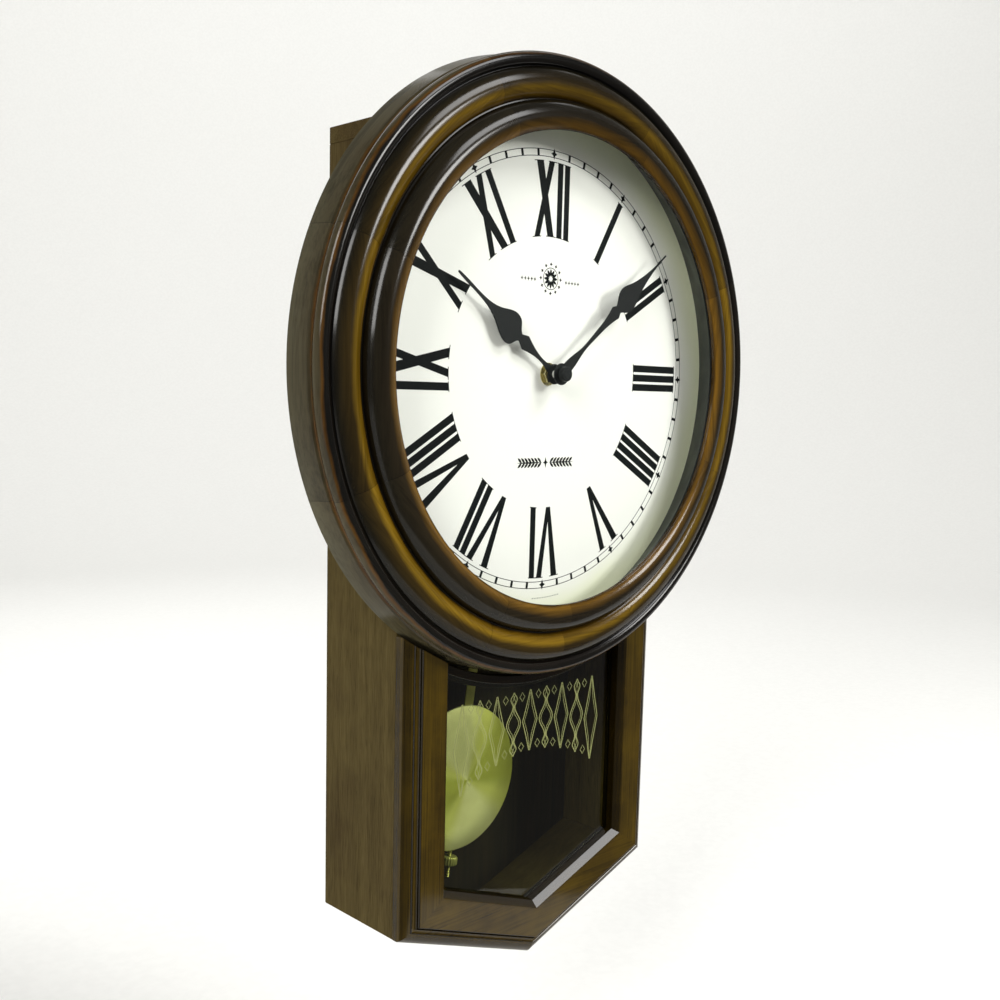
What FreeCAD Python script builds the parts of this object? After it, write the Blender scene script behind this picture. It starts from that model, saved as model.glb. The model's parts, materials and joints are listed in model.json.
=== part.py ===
import FreeCAD, Part
import math
import os
import re

import Sketcher

# A pendulum wall clock: a long wooden case with a shallow V foot, a round moulded bezel in front of its
# upper half, a glazed door below, and a quartz pendulum movement behind the dial.
#
# Millimetres. +Z is up, the clock faces -Y and the wall is the plane Y = 0. The origin is the top of the
# keyhole that the clock hangs by. Fronts, widths and heights are drawn in front view around the centre of
# the dial, which lies dial_drop under the origin. "Start" is a distance in front of the wall.

SIZES = {
    # where things stand
    "dial_drop": 100.0,
    "dial_face": 70.3,
    # case
    "case_half_width": 104.8,
    "case_depth": 62.7,
    "case_top": 130.5,
    "foot_depth": 352.3,
    "foot_slope": 0.3731,
    "panel_thickness": 9.0,
    "back_start": 4.0,
    "back_thickness": 4.0,
    "back_gap": 0.15,
    "back_window_half_width": 35.0,
    "back_window_top": 46.0,
    "back_window_bottom": 74.0,
    "rail_bottom": 84.0,
    "rail_depth": 14.0,
    "strip_width": 11.0,
    "strip_depth": 12.0,
    "strip_reach": 108.0,
    "cross_rail_top": 126.0,
    "cross_rail_height": 20.0,
    # screws
    "head_height": 1.4,
    "screw_head": 2.6,
    "screw_shank": 1.1,
    "plate_screw_across": 20.0,
    "plate_screw_up": 7.0,
    "plate_screw_length": 13.0,
    "board_screw_across": 88.0,
    "board_screw_upper": 110.0,
    "board_screw_lower": 96.0,
    "board_screw_length": 11.0,
    "clip_screw_head": 2.0,
    "clip_screw_shank": 0.8,
    "clip_screw_length": 7.0,
    "clip_screw_offset": 2.6,
    "bezel_screw_head": 3.0,
    "bezel_screw_shank": 1.3,
    "bezel_screw_length": 17.0,
    "bezel_screw_across": 90.0,
    "bezel_screw_up": 96.0,
    # hanging
    "plate_half_width": 27.0,
    "plate_half_height": 13.0,
    "plate_thickness": 1.2,
    "slot_radius": 2.5,
    "entry_radius": 5.0,
    "entry_drop": 9.0,
    "recess_half_width": 7.0,
    "recess_depth": 9.0,
    "recess_below": 8.0,
    "recess_above": 6.0,
    # bezel mouldings, as radius and distance from the wall
    "bezel_radius": 175.0,
    "rim_radius": 172.8,
    "rim_front": 77.0,
    "quirk_radius": 171.6,
    "quirk_front": 77.9,
    "bead_radius": 172.0,
    "bead_start": 79.6,
    "groove_radius": 165.2,
    "groove_front": 85.0,
    "torus_radius": 148.4,
    "torus_front": 86.2,
    "inner_quirk": 147.9,
    "lip_radius": 131.5,
    "lip_front": 92.2,
    "lip_back": 90.8,
    "bead_swell": 4.4,
    "torus_swell": 3.9,
    "inner_swell": 4.8,
    "segment_count": 8,
    # glass, spacer ring and dial
    "glass_radius": 136.3,
    "glass_seat": 136.5,
    "glass_thickness": 2.2,
    "cone_radius": 151.5,
    "spacer_mouth": 133.2,
    "spacer_foot": 146.4,
    "dial_radius": 151.2,
    "dial_thickness": 0.6,
    "board_radius": 152.2,
    "ring_gap": 0.2,
    "clip_ring": 154.0,
    "clip_half_width": 5.0,
    "clip_thickness": 1.0,
    # movement
    "movement_half_width": 28.0,
    "movement_top": 28.0,
    "movement_bottom": 62.0,
    "movement_back": 40.5,
    "movement_split": 56.7,
    "movement_wall": 1.5,
    "bay_bottom": 9.5,
    "bay_floor": 55.2,
    "battery_radius": 7.0,
    "battery_length": 48.0,
    "battery_centre": 17.7,
    "battery_start": 47.6,
    "nub_radius": 2.7,
    "nub_length": 1.4,
    "contact_size": 10.0,
    "contact_thickness": 0.4,
    # motor and circuit, as places left of and below the centre
    "stator_start": 51.2,
    "stator_thickness": 3.0,
    "core_left": 24.0,
    "core_bottom": 34.0,
    "core_height": 24.0,
    "yoke_bottom": 36.0,
    "yoke_length": 20.0,
    "yoke_top": 11.0,
    "yoke_return": 9.0,
    "winding_wall": 2.0,
    "winding_size": 7.0,
    "winding_height": 20.0,
    "rotor_offset": 9.0,
    "rotor_drop": 28.0,
    "rotor_radius": 3.0,
    "rotor_start": 50.5,
    "rotor_length": 3.0,
    "staff_radius": 0.6,
    "staff_start": 43.0,
    "staff_length": 16.0,
    "circuit_left": 8.0,
    "circuit_bottom": 58.0,
    "circuit_start": 44.0,
    "circuit_width": 17.0,
    "circuit_thickness": 1.2,
    "circuit_height": 40.0,
    "former_bore": 2.5,
    "former_radius": 8.0,
    "former_length": 6.0,
    "former_offset": 8.0,
    "former_drop": 50.0,
    # arbors and wheels
    "bush_radius": 3.7,
    "bush_bore": 2.28,
    "bush_front": 74.2,
    "washer_radius": 6.6,
    "washer_thickness": 0.5,
    "nut_radius": 5.6,
    "nut_thickness": 2.4,
    "arbor_radius": 1.0,
    "pipe_radius": 2.2,
    "running_gap": 0.06,
    "wheel_distance": 12.0,
    "fine_module": 0.5,
    "coarse_module": 0.48,
    "arbor_back": 42.3,
    "arbor_tail": 1.8,
    "centre_module": 0.28,
    "centre_wheel_start": 46.0,
    "centre_wheel_thickness": 1.4,
    "cannon_start": 49.7,
    "cannon_length": 3.0,
    "setting_tail": 4.3,
    "setting_front": 60.8,
    "reverser_start": 50.3,
    "reverser_thickness": 1.8,
    "pinion_start": 56.9,
    "pinion_length": 3.0,
    "hour_wheel_start": 57.4,
    "hour_wheel_thickness": 1.6,
    "knob_radius": 7.0,
    "knob_gap": 6.2,
    "knob_depth": 4.6,
    "knob_neck": 2.6,
    # hands
    "hour_hand_start": 75.0,
    "minute_hand_start": 80.6,
    "hand_thickness": 0.7,
    "cap_front": 85.9,
    "cap_radius": 4.2,
    "cap_floor": 1.6,
    "cap_neck": 2.6,
    "cap_neck_length": 1.2,
    "hour_hub": 5.8,
    "minute_hub": 6.2,
    "hour_angle": -55.8,
    "minute_angle": 50.7,
    # pendulum, hung from a pin on the back of the movement
    "pivot_drop": 33.0,
    "swing_angle": 8.3,
    "pivot_radius": 1.5,
    "pin_head_radius": 2.4,
    "hanger_thickness": 2.4,
    "hanger_half_width": 5.0,
    "hanger_drop": 14.0,
    "drive_radius": 2.6,
    "drive_length": 3.0,
    "drive_drop": 17.0,
    "rod_top": 7.0,
    "pendulum_start": 34.6,
    "rod_half_width": 3.6,
    "rod_thickness": 0.9,
    "bob_drop": 212.8,
    "bob_radius": 44.6,
    "bob_rise": 6.0,
    "bob_eye": 3.0,
    "bob_skin": 0.6,
    "bob_back_rise": 2.0,
    "nut_drop": 262.0,
    "screw_radius": 1.5,
    "screw_length": 16.0,
    "rating_radius": 5.2,
    "rating_height": 5.0,
    # door, with sizes across the frame measured inwards from its outer edge
    "door_start": 63.0,
    "door_front": 73.8,
    "door_edge": 66.7,
    "cove_width": 6.3,
    "cove_front": 70.6,
    "bead_edge": 6.7,
    "bead_foot": 71.5,
    "bead_width": 9.6,
    "bead_top": 72.5,
    "cove_sink": 0.9,
    "bead_rise": 0.9,
    "door_quirk": 10.0,
    "door_quirk_front": 71.9,
    "flat_edge": 10.6,
    "flat_width": 28.1,
    "bevel_width": 31.6,
    "bevel_front": 69.8,
    "rabbet_width": 28.6,
    "rabbet_front": 65.2,
    "door_glass_front": 65.1,
    "door_glass_thickness": 1.5,
    "door_arch": 176.6,
    "top_rail_height": 5.0,
    "top_rail_front": 68.6,
    "bead_strip": 1.6,
    "hinge_axis": 106.8,
    "hinge_start": 62.85,
    "knuckle_radius": 1.6,
    "pin_radius": 0.75,
    "leaf_thickness": 0.8,
    "leaf_width": 8.0,
    "hinge_height": 30.0,
    "knuckle_height": 9.8,
    "upper_hinge": 176.0,
    "lower_hinge": 290.0,
    # magnetic catch on the foot of the case
    "catch_half_length": 13.0,
    "catch_height": 9.0,
    "catch_depth": 16.0,
    "catch_offset": 62.0,
}

CANNON_TEETH, REVERSER_TEETH, PINION_TEETH, HOUR_TEETH = 12, 36, 10, 40
CENTRE_TEETH = 52

# Outlines of the hands: distance from the arbor and half the width there, from the hub to the tip. A pair
# of lists, because the outline breaks at the cusp below the spade.
HOUR_STEM = [(5.4, 2.6), (11.0, 1.25), (19.0, 1.6), (29.6, 4.5)]
HOUR_SPADE = [(34.4, 2.2), (36.2, 3.6), (39.6, 8.2), (43.6, 9.3), (48.0, 8.3), (55.0, 4.6), (63.0, 1.9),
              (75.0, 0.9), (91.7, 0.5)]
MINUTE_STEM = [(5.6, 3.4), (12.0, 3.0), (22.0, 1.4), (36.0, 1.4), (49.0, 2.2), (59.4, 4.2)]
MINUTE_SPADE = [(62.6, 2.5), (64.4, 3.6), (68.2, 6.4), (72.4, 7.7), (80.4, 5.6), (90.0, 2.9), (102.0, 1.0),
                (118.5, 0.45)]

doc = FreeCAD.newDocument("PendulumClock")
sheet = doc.addObject("Spreadsheet::Sheet", "Sizes")
for row, (alias, number) in enumerate(SIZES.items(), start=1):
    sheet.set(f"A{row}", alias)
    sheet.set(f"B{row}", str(number))
    sheet.setAlias(f"B{row}", alias)
doc.recompute()

nodes = []


# ---------------------------------------------------------------- helpers

def expr(text):
    """the expression with each size's name pointed at its cell"""
    return re.sub(r"[a-z_]+", lambda word: "Sizes." + word[0] if word[0] in SIZES else word[0], text)


def value(text):
    """the expression's number"""
    return float(sheet.evalExpression(expr(text)))


def bind(thing, **places):
    """sets properties from expressions; two underscores stand for a dot"""
    for name, text in places.items():
        thing.setExpression(name.replace("__", "."), expr(text))


def keep(thing, label):
    """marks an object as a sub-part"""
    thing.Label = label
    nodes.append(thing)
    return thing


def place(thing, x="0", start="0", up="0"):
    """puts an object at a place in front view around the dial's centre"""
    bind(thing, Placement__Base__x=x, Placement__Base__y=f"-( {start} )",
         Placement__Base__z=f"{up} - dial_drop")


def swing(thing):
    """turns an object about the pendulum's pivot to where the pendulum stands"""
    thing.Placement = FreeCAD.Placement(FreeCAD.Vector(), FreeCAD.Rotation(FreeCAD.Vector(0, 1, 0), 1))
    bind(thing, Placement__Rotation__Angle="swing_angle")


def origin_plane(body, role):
    """one of the body's own origin planes"""
    return next(plane for plane in body.Origin.OriginFeatures if plane.Role == role)


def arc_middle(first, last, swell):
    """the middle of an arc that swells to the right of the chord, or to the left if swell is negative"""
    chord = last - first
    normal = FreeCAD.Vector(chord.y, -chord.x, 0).normalize()
    return (first + last) * 0.5 + normal * swell


def draw(sketch, corners):
    """draws a closed outline; a corner is an x, a y and, where an arc leaves it, the arc's swell"""
    points = [FreeCAD.Vector(value(corner[0]), value(corner[1]), 0) for corner in corners]
    ends = []
    for index, corner in enumerate(corners):
        first, last = points[index], points[(index + 1) % len(points)]
        if len(corner) == 2:
            sketch.addGeometry(Part.LineSegment(first, last), False)
            ends.append((1, 2))
        else:
            ends.append(draw_arc(sketch, first, last, value(corner[2])))
    for index, corner in enumerate(corners):
        tie_corner(sketch, index, ends, corner, points[index])


def draw_arc(sketch, first, last, swell):
    """adds an arc, which a sketch runs anticlockwise, and says which end is its first"""
    middle = arc_middle(first, last, swell)
    if swell < 0:
        first, last = last, first
    arc = sketch.addGeometry(Part.Arc(first, middle, last), False)
    radius = sketch.Geometry[arc].Radius
    sketch.addConstraint(Sketcher.Constraint("Radius", arc, radius))
    return (2, 1) if swell < 0 else (1, 2)


def tie_corner(sketch, index, ends, corner, point):
    """joins two edges at a corner and binds the corner's place to the sheet"""
    before = (index - 1) % len(ends)
    sketch.addConstraint(Sketcher.Constraint("Coincident", before, ends[before][1], index, ends[index][0]))
    for kind, text, number in (("DistanceX", corner[0], point.x), ("DistanceY", corner[1], point.y)):
        constraint = Sketcher.Constraint(kind, -1, 1, index, ends[index][0], number)
        made = sketch.addConstraint(constraint)
        sketch.setExpression(f"Constraints[{made}]", expr(text))


def front_sketch(body, corners):
    """a sketch on the body's front plane, with X to the right and Z up"""
    sketch = body.newObject("Sketcher::SketchObject", body.Name + "_outline")
    sketch.AttachmentSupport = [(origin_plane(body, "XZ_Plane"), "")]
    sketch.MapMode = "FlatFace"
    if corners:
        draw(sketch, corners)
    return sketch


def plate(label, corners, start, thickness, kept=True):
    """a flat piece cut to an outline in front view"""
    body = doc.addObject("PartDesign::Body", label)
    sketch = front_sketch(body, corners)
    pad = body.newObject("PartDesign::Pad", label + "_pad")
    pad.Profile = sketch
    bind(pad, Length=thickness)
    body.Tip = pad
    place(body, start=start)
    doc.recompute()
    if kept:
        keep(body, label)
    return body


def cut_outline(body, corners, depth=None, from_start="0"):
    """cuts an outline into a flat piece, right through or to a depth, from a distance above its back"""
    before = body.Shape.Volume
    sketch = front_sketch(body, corners)
    sketch.AttachmentOffset = FreeCAD.Placement(FreeCAD.Vector(0, 0, value(from_start)), FreeCAD.Rotation())
    bind(sketch, AttachmentOffset__Base__z=from_start)
    pocket_to(body, sketch, depth)
    assert body.Shape.Volume < before, body.Label + " lost nothing to its pocket"


def cut_circle(body, radius, x="0", up="0", depth=None):
    """cuts a round hole through a flat piece, or a round recess from its back"""
    before = body.Shape.Volume
    sketch = front_sketch(body, [])
    centre = FreeCAD.Vector(value(x), value(up), 0)
    sketch.addGeometry(Part.Circle(centre, FreeCAD.Vector(0, 0, 1), value(radius)), False)
    for kind, text, number in (("DistanceX", x, centre.x), ("DistanceY", up, centre.y)):
        made = sketch.addConstraint(Sketcher.Constraint(kind, -1, 1, 0, 3, number))
        sketch.setExpression(f"Constraints[{made}]", expr(text))
    made = sketch.addConstraint(Sketcher.Constraint("Radius", 0, value(radius)))
    sketch.setExpression(f"Constraints[{made}]", expr(radius))
    pocket_to(body, sketch, depth)
    assert body.Shape.Volume < before, body.Label + " lost nothing to its hole"


def pocket_to(body, sketch, depth):
    """a pocket from the sketch towards the front"""
    pocket = body.newObject("PartDesign::Pocket", body.Name + "_pocket")
    pocket.Profile = sketch
    pocket.Reversed = True
    if depth is None:
        pocket.Type = "ThroughAll"
    else:
        bind(pocket, Length=depth)
    body.Tip = pocket
    doc.recompute()


def box(left, bottom, right, top):
    """the corners of a rectangle in front view"""
    return [(left, bottom), (right, bottom), (right, top), (left, top)]


def across(x):
    """the same place on the other side of the clock"""
    return f"-( {x} )"


def foot_corner(inset, side=-1):
    """where the side and the foot meet, on a line that runs inset inside the case's outline"""
    half = f"( case_half_width - {inset} )"
    up = f"-foot_depth + {half} * foot_slope + {inset} * sqrt( 1 + foot_slope ^ 2 )"
    return (half if side > 0 else across(half), up)


def foot_point(inset):
    """the bottom of the V, on a line that runs inset inside the case's outline"""
    return ("0", f"-foot_depth + {inset} * sqrt( 1 + foot_slope ^ 2 )")


def mirrored(corners):
    """the outline on the other side of the clock"""
    return [(across(corner[0]),) + tuple(corner[1:]) for corner in reversed(corners)]


def case_outline(inset, top):
    """the outline of the case, all round, that far inside its surface"""
    half = f"( case_half_width - {inset} )"
    return [foot_point(inset), foot_corner(inset, 1), (half, top), (across(half), top), foot_corner(inset)]


def rod(label, radius, start, length, x="0", up="0", kept=True):
    """a cylinder whose axis points to the front"""
    cylinder = doc.addObject("Part::Cylinder", label)
    bind(cylinder, Radius=radius, Height=length)
    cylinder.Placement.Rotation = FreeCAD.Rotation(FreeCAD.Vector(1, 0, 0), 90)
    place(cylinder, x, start, up)
    return keep(cylinder, label) if kept else cylinder


def block(label, left, start, bottom, width, depth, height, kept=True):
    """a rectangular block"""
    cuboid = doc.addObject("Part::Box", label)
    bind(cuboid, Length=width, Width=depth, Height=height)
    place(cuboid, left, f"{start} + {depth}", bottom)
    return keep(cuboid, label) if kept else cuboid


def turned(label, profile, angle="360", kept=True, drop="0"):
    """a solid of revolution about an axis that points to the front; corners are radius and distance out"""
    sketch = doc.addObject("Sketcher::SketchObject", label + "_profile")
    axes = (FreeCAD.Vector(0, 0, 1), FreeCAD.Vector(0, -1, 0), FreeCAD.Vector(1, 0, 0))
    sketch.Placement = FreeCAD.Placement(FreeCAD.Vector(), FreeCAD.Rotation(*axes, "ZXY"))
    bind(sketch, Placement__Base__z=f"-( {drop} )")
    draw(sketch, profile)
    solid = doc.addObject("Part::Revolution", label)
    solid.Source = sketch
    solid.Axis = FreeCAD.Vector(0, 1, 0)
    solid.Solid = True
    bind(solid, Angle=angle, Base__z=f"-( {drop} )")
    place(solid)
    return keep(solid, label) if kept else solid


def tube(label, inner, outer, start, length, kept=True):
    """a turned tube"""
    end = f"{start} + {length}"
    return turned(label, [(inner, start), (outer, start), (outer, end), (inner, end)], kept=kept)


def fused(label, pieces, kept=True):
    """one solid made of several that touch"""
    whole = doc.addObject("Part::MultiFuse", label)
    whole.Shapes = pieces
    return keep(whole, label) if kept else whole


def cut(label, base, tool, kept=True):
    """a solid less another"""
    rest = doc.addObject("Part::Cut", label)
    rest.Base = base
    rest.Tool = tool
    return keep(rest, label) if kept else rest


def common(label, base, tool, kept=True):
    """what two solids share"""
    shared = doc.addObject("Part::Common", label)
    shared.Base = base
    shared.Tool = tool
    return keep(shared, label) if kept else shared


def group(label, pieces):
    """separate solids that share one node"""
    together = doc.addObject("Part::Compound", label)
    together.Links = pieces
    return keep(together, label)


def round_screws(label, spots, seat, length, head="screw_head", shank="screw_shank"):
    """round-headed screws driven from behind; the seat is where the back of the head rests"""
    screws = []
    for number, (x, up) in enumerate(spots):
        name = f"{label}_{number}"
        top = rod(name + "_head", head, f"{seat} - head_height", "head_height", x, up, kept=False)
        stem = rod(name + "_shank", shank, seat, length, x, up, kept=False)
        screws.append(fused(name, [top, stem], kept=False))
    return group(label, screws)


def feature(label, shape, x="0", start="0", up="0"):
    """a solid made from the sheet's numbers in code"""
    solid = doc.addObject("Part::Feature", label)
    solid.Shape = shape
    place(solid, x, start, up)
    return keep(solid, label)


# ---------------------------------------------------------------- case

def side_panel(side):
    """a side of the case, mitred at the foot"""
    inner = "( case_half_width - panel_thickness )"
    top = "case_top - panel_thickness"
    corners = [foot_corner("0"), foot_corner("panel_thickness"), (across(inner), top),
               ("-case_half_width", top)]
    if side > 0:
        corners = mirrored(corners)
    return plate("side_panel_right" if side > 0 else "side_panel_left", corners, "0", "case_depth")


def hinge_mortises(panel):
    """shallow recesses for the hinge leaves in the front edge of the hinge side"""
    for height in ("upper_hinge", "lower_hinge"):
        corners = box("case_half_width - leaf_width", f"-{height} - hinge_height / 2",
                      "case_half_width + 1", f"-{height} + hinge_height / 2")
        cut_outline(panel, corners, "leaf_thickness", "case_depth - leaf_thickness")


def bottom_panel(side):
    """half of the V foot"""
    corners = foot_corners("0", "panel_thickness")
    if side > 0:
        corners = mirrored(corners)
    plate("bottom_panel_right" if side > 0 else "bottom_panel_left", corners, "0", "case_depth")


def keyhole_recess():
    """the outline of the clearance behind the keyhole for the wall screw's head"""
    return box(across("recess_half_width"), "dial_drop - entry_drop - recess_below", "recess_half_width",
               "dial_drop + recess_above")


def back_board():
    """the thin board across the back, with a window for the battery and a clearance for the wall screw"""
    inset = "( panel_thickness + back_gap )"
    board = plate("back_board", case_outline(inset, f"case_top - {inset}"), "back_start", "back_thickness")
    cut_outline(board, box(across("back_window_half_width"), across("back_window_bottom"),
                           "back_window_half_width", "back_window_top"))
    cut_outline(board, keyhole_recess())


def hanging_rail():
    """the stout rail behind the top of the back board that carries the clock"""
    inner = "( case_half_width - panel_thickness )"
    rail = plate("hanging_rail", box(across(inner), "rail_bottom", inner, "case_top - panel_thickness"),
                 "back_start + back_thickness", "rail_depth")
    cut_outline(rail, keyhole_recess(), "recess_depth")


def hanger_plate():
    """the steel plate with the keyhole"""
    start = "back_start - plate_thickness"
    corners = box(across("plate_half_width"), "dial_drop - entry_drop / 2 - plate_half_height",
                  "plate_half_width", "dial_drop - entry_drop / 2 + plate_half_height")
    hanger = plate("hanger_plate", corners, start, "plate_thickness")
    cut_circle(hanger, "slot_radius", up="dial_drop - slot_radius")
    cut_circle(hanger, "entry_radius", up="dial_drop - entry_drop")
    cut_outline(hanger, box(across("slot_radius"), "dial_drop - entry_drop",
                            "slot_radius", "dial_drop - slot_radius"))


def case():
    side_panel(-1)
    hinge_mortises(side_panel(1))
    plate("top_panel", box("-case_half_width", "case_top - panel_thickness", "case_half_width", "case_top"),
          "0", "case_depth")
    bottom_panel(-1)
    bottom_panel(1)
    back_board()
    hanging_rail()
    hanger_plate()
    inner = "( case_half_width - panel_thickness )"
    strips = [block(f"strip_{side}", left, "case_depth - strip_depth", across("strip_reach"),
                    "strip_width", "strip_depth", "2 * strip_reach", kept=False)
              for side, left in (("left", across(inner)), ("right", inner + " - strip_width"))]
    group("glue_strips", strips)
    block("cross_rail", across(inner), "case_depth - strip_depth", "-cross_rail_top - cross_rail_height",
          f"2 * {inner}", "strip_depth", "cross_rail_height")
    signs = ("-", "")
    plate_spots = [(f"{sign}plate_screw_across", f"dial_drop - entry_drop / 2 + {offset}plate_screw_up")
                   for sign in signs for offset in signs]
    round_screws("hanger_screws", plate_spots, "back_start - plate_thickness", "plate_screw_length")
    board_spots = [(f"{sign}board_screw_across", height)
                   for sign in signs for height in ("board_screw_upper", "board_screw_lower")]
    round_screws("back_board_screws", board_spots, "back_start", "board_screw_length")


# ---------------------------------------------------------------- bezel, glass and dial

def bezel_profile():
    """the moulding: a plain rim, a bead at its front edge and two tori that step forward to the lip"""
    return [("bezel_radius", "case_depth"), ("rim_radius", "rim_front"), ("quirk_radius", "quirk_front"),
            ("bead_radius", "bead_start", "bead_swell"), ("groove_radius", "groove_front", "torus_swell"),
            ("torus_radius", "torus_front"), ("inner_quirk", "torus_front + 0.2", "inner_swell"),
            ("lip_radius", "lip_front"), ("lip_radius", "lip_back"), ("glass_seat", "lip_back"),
            ("glass_seat", "lip_back - glass_thickness - 0.4"), ("board_radius", "dial_face"),
            ("board_radius", "case_depth")]


def bezel():
    """eight segments glued end to end, one of them across the top"""
    segments = []
    for number in range(int(SIZES["segment_count"])):
        segment = turned(f"bezel_segment_{number}", bezel_profile(), "360 / segment_count", kept=False)
        turn = FreeCAD.Rotation(FreeCAD.Vector(0, 1, 0), (number - 0.5) * 360 / SIZES["segment_count"])
        segment.Placement.Rotation = turn
        segments.append(segment)
    group("bezel_segments", segments)


def spacer_ring():
    """the black cone that holds the glass against the lip and the dial against its board"""
    back_of_glass = "lip_back - glass_thickness"
    turned("spacer_ring", [("spacer_foot", "dial_face"), ("cone_radius - ring_gap", "dial_face"),
                           ("glass_radius", f"{back_of_glass} - 0.5"), ("glass_radius", back_of_glass),
                           ("spacer_mouth", back_of_glass)])


def board_clips():
    """small steel plates across the joint at the back, clear of the case"""
    clips, spots = [], []
    for turn in (-72, -48, 48, 72, 108, 132, 228, 252):
        side, up = math.sin(math.radians(turn)), math.cos(math.radians(turn))
        x, height = f"( clip_ring * {side:.6f} )", f"( clip_ring * {up:.6f} )"
        clips.append(block(f"clip_{turn % 360}", f"{x} - clip_half_width", "case_depth - clip_thickness",
                           f"{height} - clip_half_width", "2 * clip_half_width", "clip_thickness",
                           "2 * clip_half_width", kept=False))
        spots.append((f"{x} + clip_screw_offset * {side:.6f}", f"{height} + clip_screw_offset * {up:.6f}"))
    group("board_clips", clips)
    round_screws("clip_screws", spots, "case_depth - clip_thickness", "clip_screw_length", "clip_screw_head",
                 "clip_screw_shank")


def dial():
    bezel()
    rod("dial_glass", "glass_radius", "lip_back - glass_thickness", "glass_thickness")
    spacer_ring()
    back = "dial_face - dial_thickness"
    tube("dial_plate", "bush_radius + ring_gap", "dial_radius", back, "dial_thickness")
    tube("dial_board", "bush_radius + ring_gap", "board_radius - ring_gap", "case_depth",
         f"{back} - case_depth")
    board_clips()
    spots = [(f"{sign}bezel_screw_across", height)
             for sign in ("-", "") for height in ("-bezel_screw_up", "0", "bezel_screw_up")]
    round_screws("bezel_screws", spots, "case_depth - strip_depth", "bezel_screw_length", "bezel_screw_head",
                 "bezel_screw_shank")


# ---------------------------------------------------------------- movement

def movement_box(left, bottom, right, top):
    """a rectangle set in by the movement's wall from these sides"""
    return box(f"{left} + movement_wall", f"{bottom} + movement_wall", f"{right} - movement_wall",
               f"{top} - movement_wall")


def movement_covers():
    """a front and a rear half; the rear one holds the battery bay, which is open behind"""
    outline = box(across("movement_half_width"), across("movement_bottom"), "movement_half_width",
                  "movement_top")
    inner = movement_box(across("movement_half_width"), across("movement_bottom"), "movement_half_width",
                         "movement_top")
    front = plate("movement_front_cover", outline, "movement_split", "case_depth - movement_split")
    cut_outline(front, inner, "case_depth - movement_split - movement_wall")
    cut_circle(front, "bush_bore + 0.2")
    rear = plate("movement_rear_cover", outline, "movement_back", "movement_split - movement_back")
    works = movement_box(across("movement_half_width"), across("movement_bottom"), "movement_half_width",
                         "bay_bottom")
    cut_outline(rear, works, None, "movement_wall")
    bay = movement_box(across("movement_half_width"), "bay_bottom - movement_wall", "movement_half_width",
                       "movement_top")
    cut_outline(rear, bay, "bay_floor - movement_back")
    cut_circle(rear, "arbor_radius + running_gap")
    cut_circle(rear, "arbor_radius + 0.3", up="-wheel_distance")


def battery():
    """a dry cell on its side, with its nub to the right"""
    cell = doc.addObject("Part::Cylinder", "cell_can")
    bind(cell, Radius="battery_radius", Height="battery_length")
    cell.Placement.Rotation = FreeCAD.Rotation(FreeCAD.Vector(0, 1, 0), 90)
    place(cell, "-( battery_length + nub_length ) / 2", "battery_start", "battery_centre")
    nub = doc.addObject("Part::Cylinder", "cell_nub")
    bind(nub, Radius="nub_radius", Height="nub_length")
    nub.Placement.Rotation = FreeCAD.Rotation(FreeCAD.Vector(0, 1, 0), 90)
    place(nub, "( battery_length - nub_length ) / 2", "battery_start", "battery_centre")
    fused("battery", [cell, nub])


def contacts():
    """a plate at each end of the battery bay"""
    near, half = "movement_half_width - movement_wall", "contact_size / 2"
    ends = [block(f"contact_{name}", left, f"battery_start - {half}", f"battery_centre - {half}",
                  "contact_thickness", "contact_size", "contact_size", kept=False)
            for name, left in (("minus", across(near)), ("plus", near + " - contact_thickness"))]
    group("battery_contacts", ends)


def step_motor():
    """coil, stator and magnet rotor, and the board and the pendulum's coil beside them"""
    start, thick = "stator_start", "stator_thickness"
    core = block("coil_core", "-core_left", start, "-core_bottom", thick, thick, "core_height", kept=False)
    yokes = [block(f"stator_{drop}", "-core_left", start, "-" + drop, length, thick, thick, kept=False)
             for drop, length in (("yoke_bottom", "yoke_length"), ("yoke_top", "yoke_return"))]
    fused("motor_stator", [core] + yokes)
    winding = block("winding_body", "-core_left - winding_wall", f"{start} - winding_wall",
                    "-core_bottom + winding_wall", "winding_size", "winding_size", "winding_height",
                    kept=False)
    hollow = block("winding_hollow", "-core_left - 0.1", f"{start} - 0.1", "-core_bottom", f"{thick} + 0.2",
                   f"{thick} + 0.2", "core_height", kept=False)
    cut("motor_coil", winding, hollow)
    spot = ("-rotor_offset", "-rotor_drop")
    magnet = rod("rotor_magnet", "rotor_radius", "rotor_start", "rotor_length", *spot, kept=False)
    staff = rod("rotor_staff", "staff_radius", "staff_start", "staff_length", *spot, kept=False)
    fused("motor_rotor", [magnet, staff])
    block("circuit_board", "circuit_left", "circuit_start", "-circuit_bottom", "circuit_width",
          "circuit_thickness", "circuit_height")
    former = tube("pendulum_coil", "former_bore", "former_radius", "circuit_start", "former_length",
                  kept=False)
    place(former, "-former_offset", "0", "-former_drop")
    keep(former, "pendulum_coil")


def gear(teeth, module, thickness, first_tooth):
    """a spur wheel with straight-sided teeth; angles run anticlockwise from the right in front view"""
    pitch_radius = teeth * module / 2
    pitch = 2 * math.pi / teeth
    corners = []
    for number in range(teeth):
        middle = math.radians(first_tooth) + number * pitch
        for share, reach in ((-0.27, -1.2), (-0.1, 0.85), (0.1, 0.85), (0.27, -1.2)):
            radius = pitch_radius + reach * module
            angle = middle + share * pitch
            corners.append(FreeCAD.Vector(radius * math.cos(angle), 0, radius * math.sin(angle)))
    wire = Part.makePolygon(corners + corners[:1])
    return Part.Face(wire).extrude(FreeCAD.Vector(0, -thickness, 0))


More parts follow.
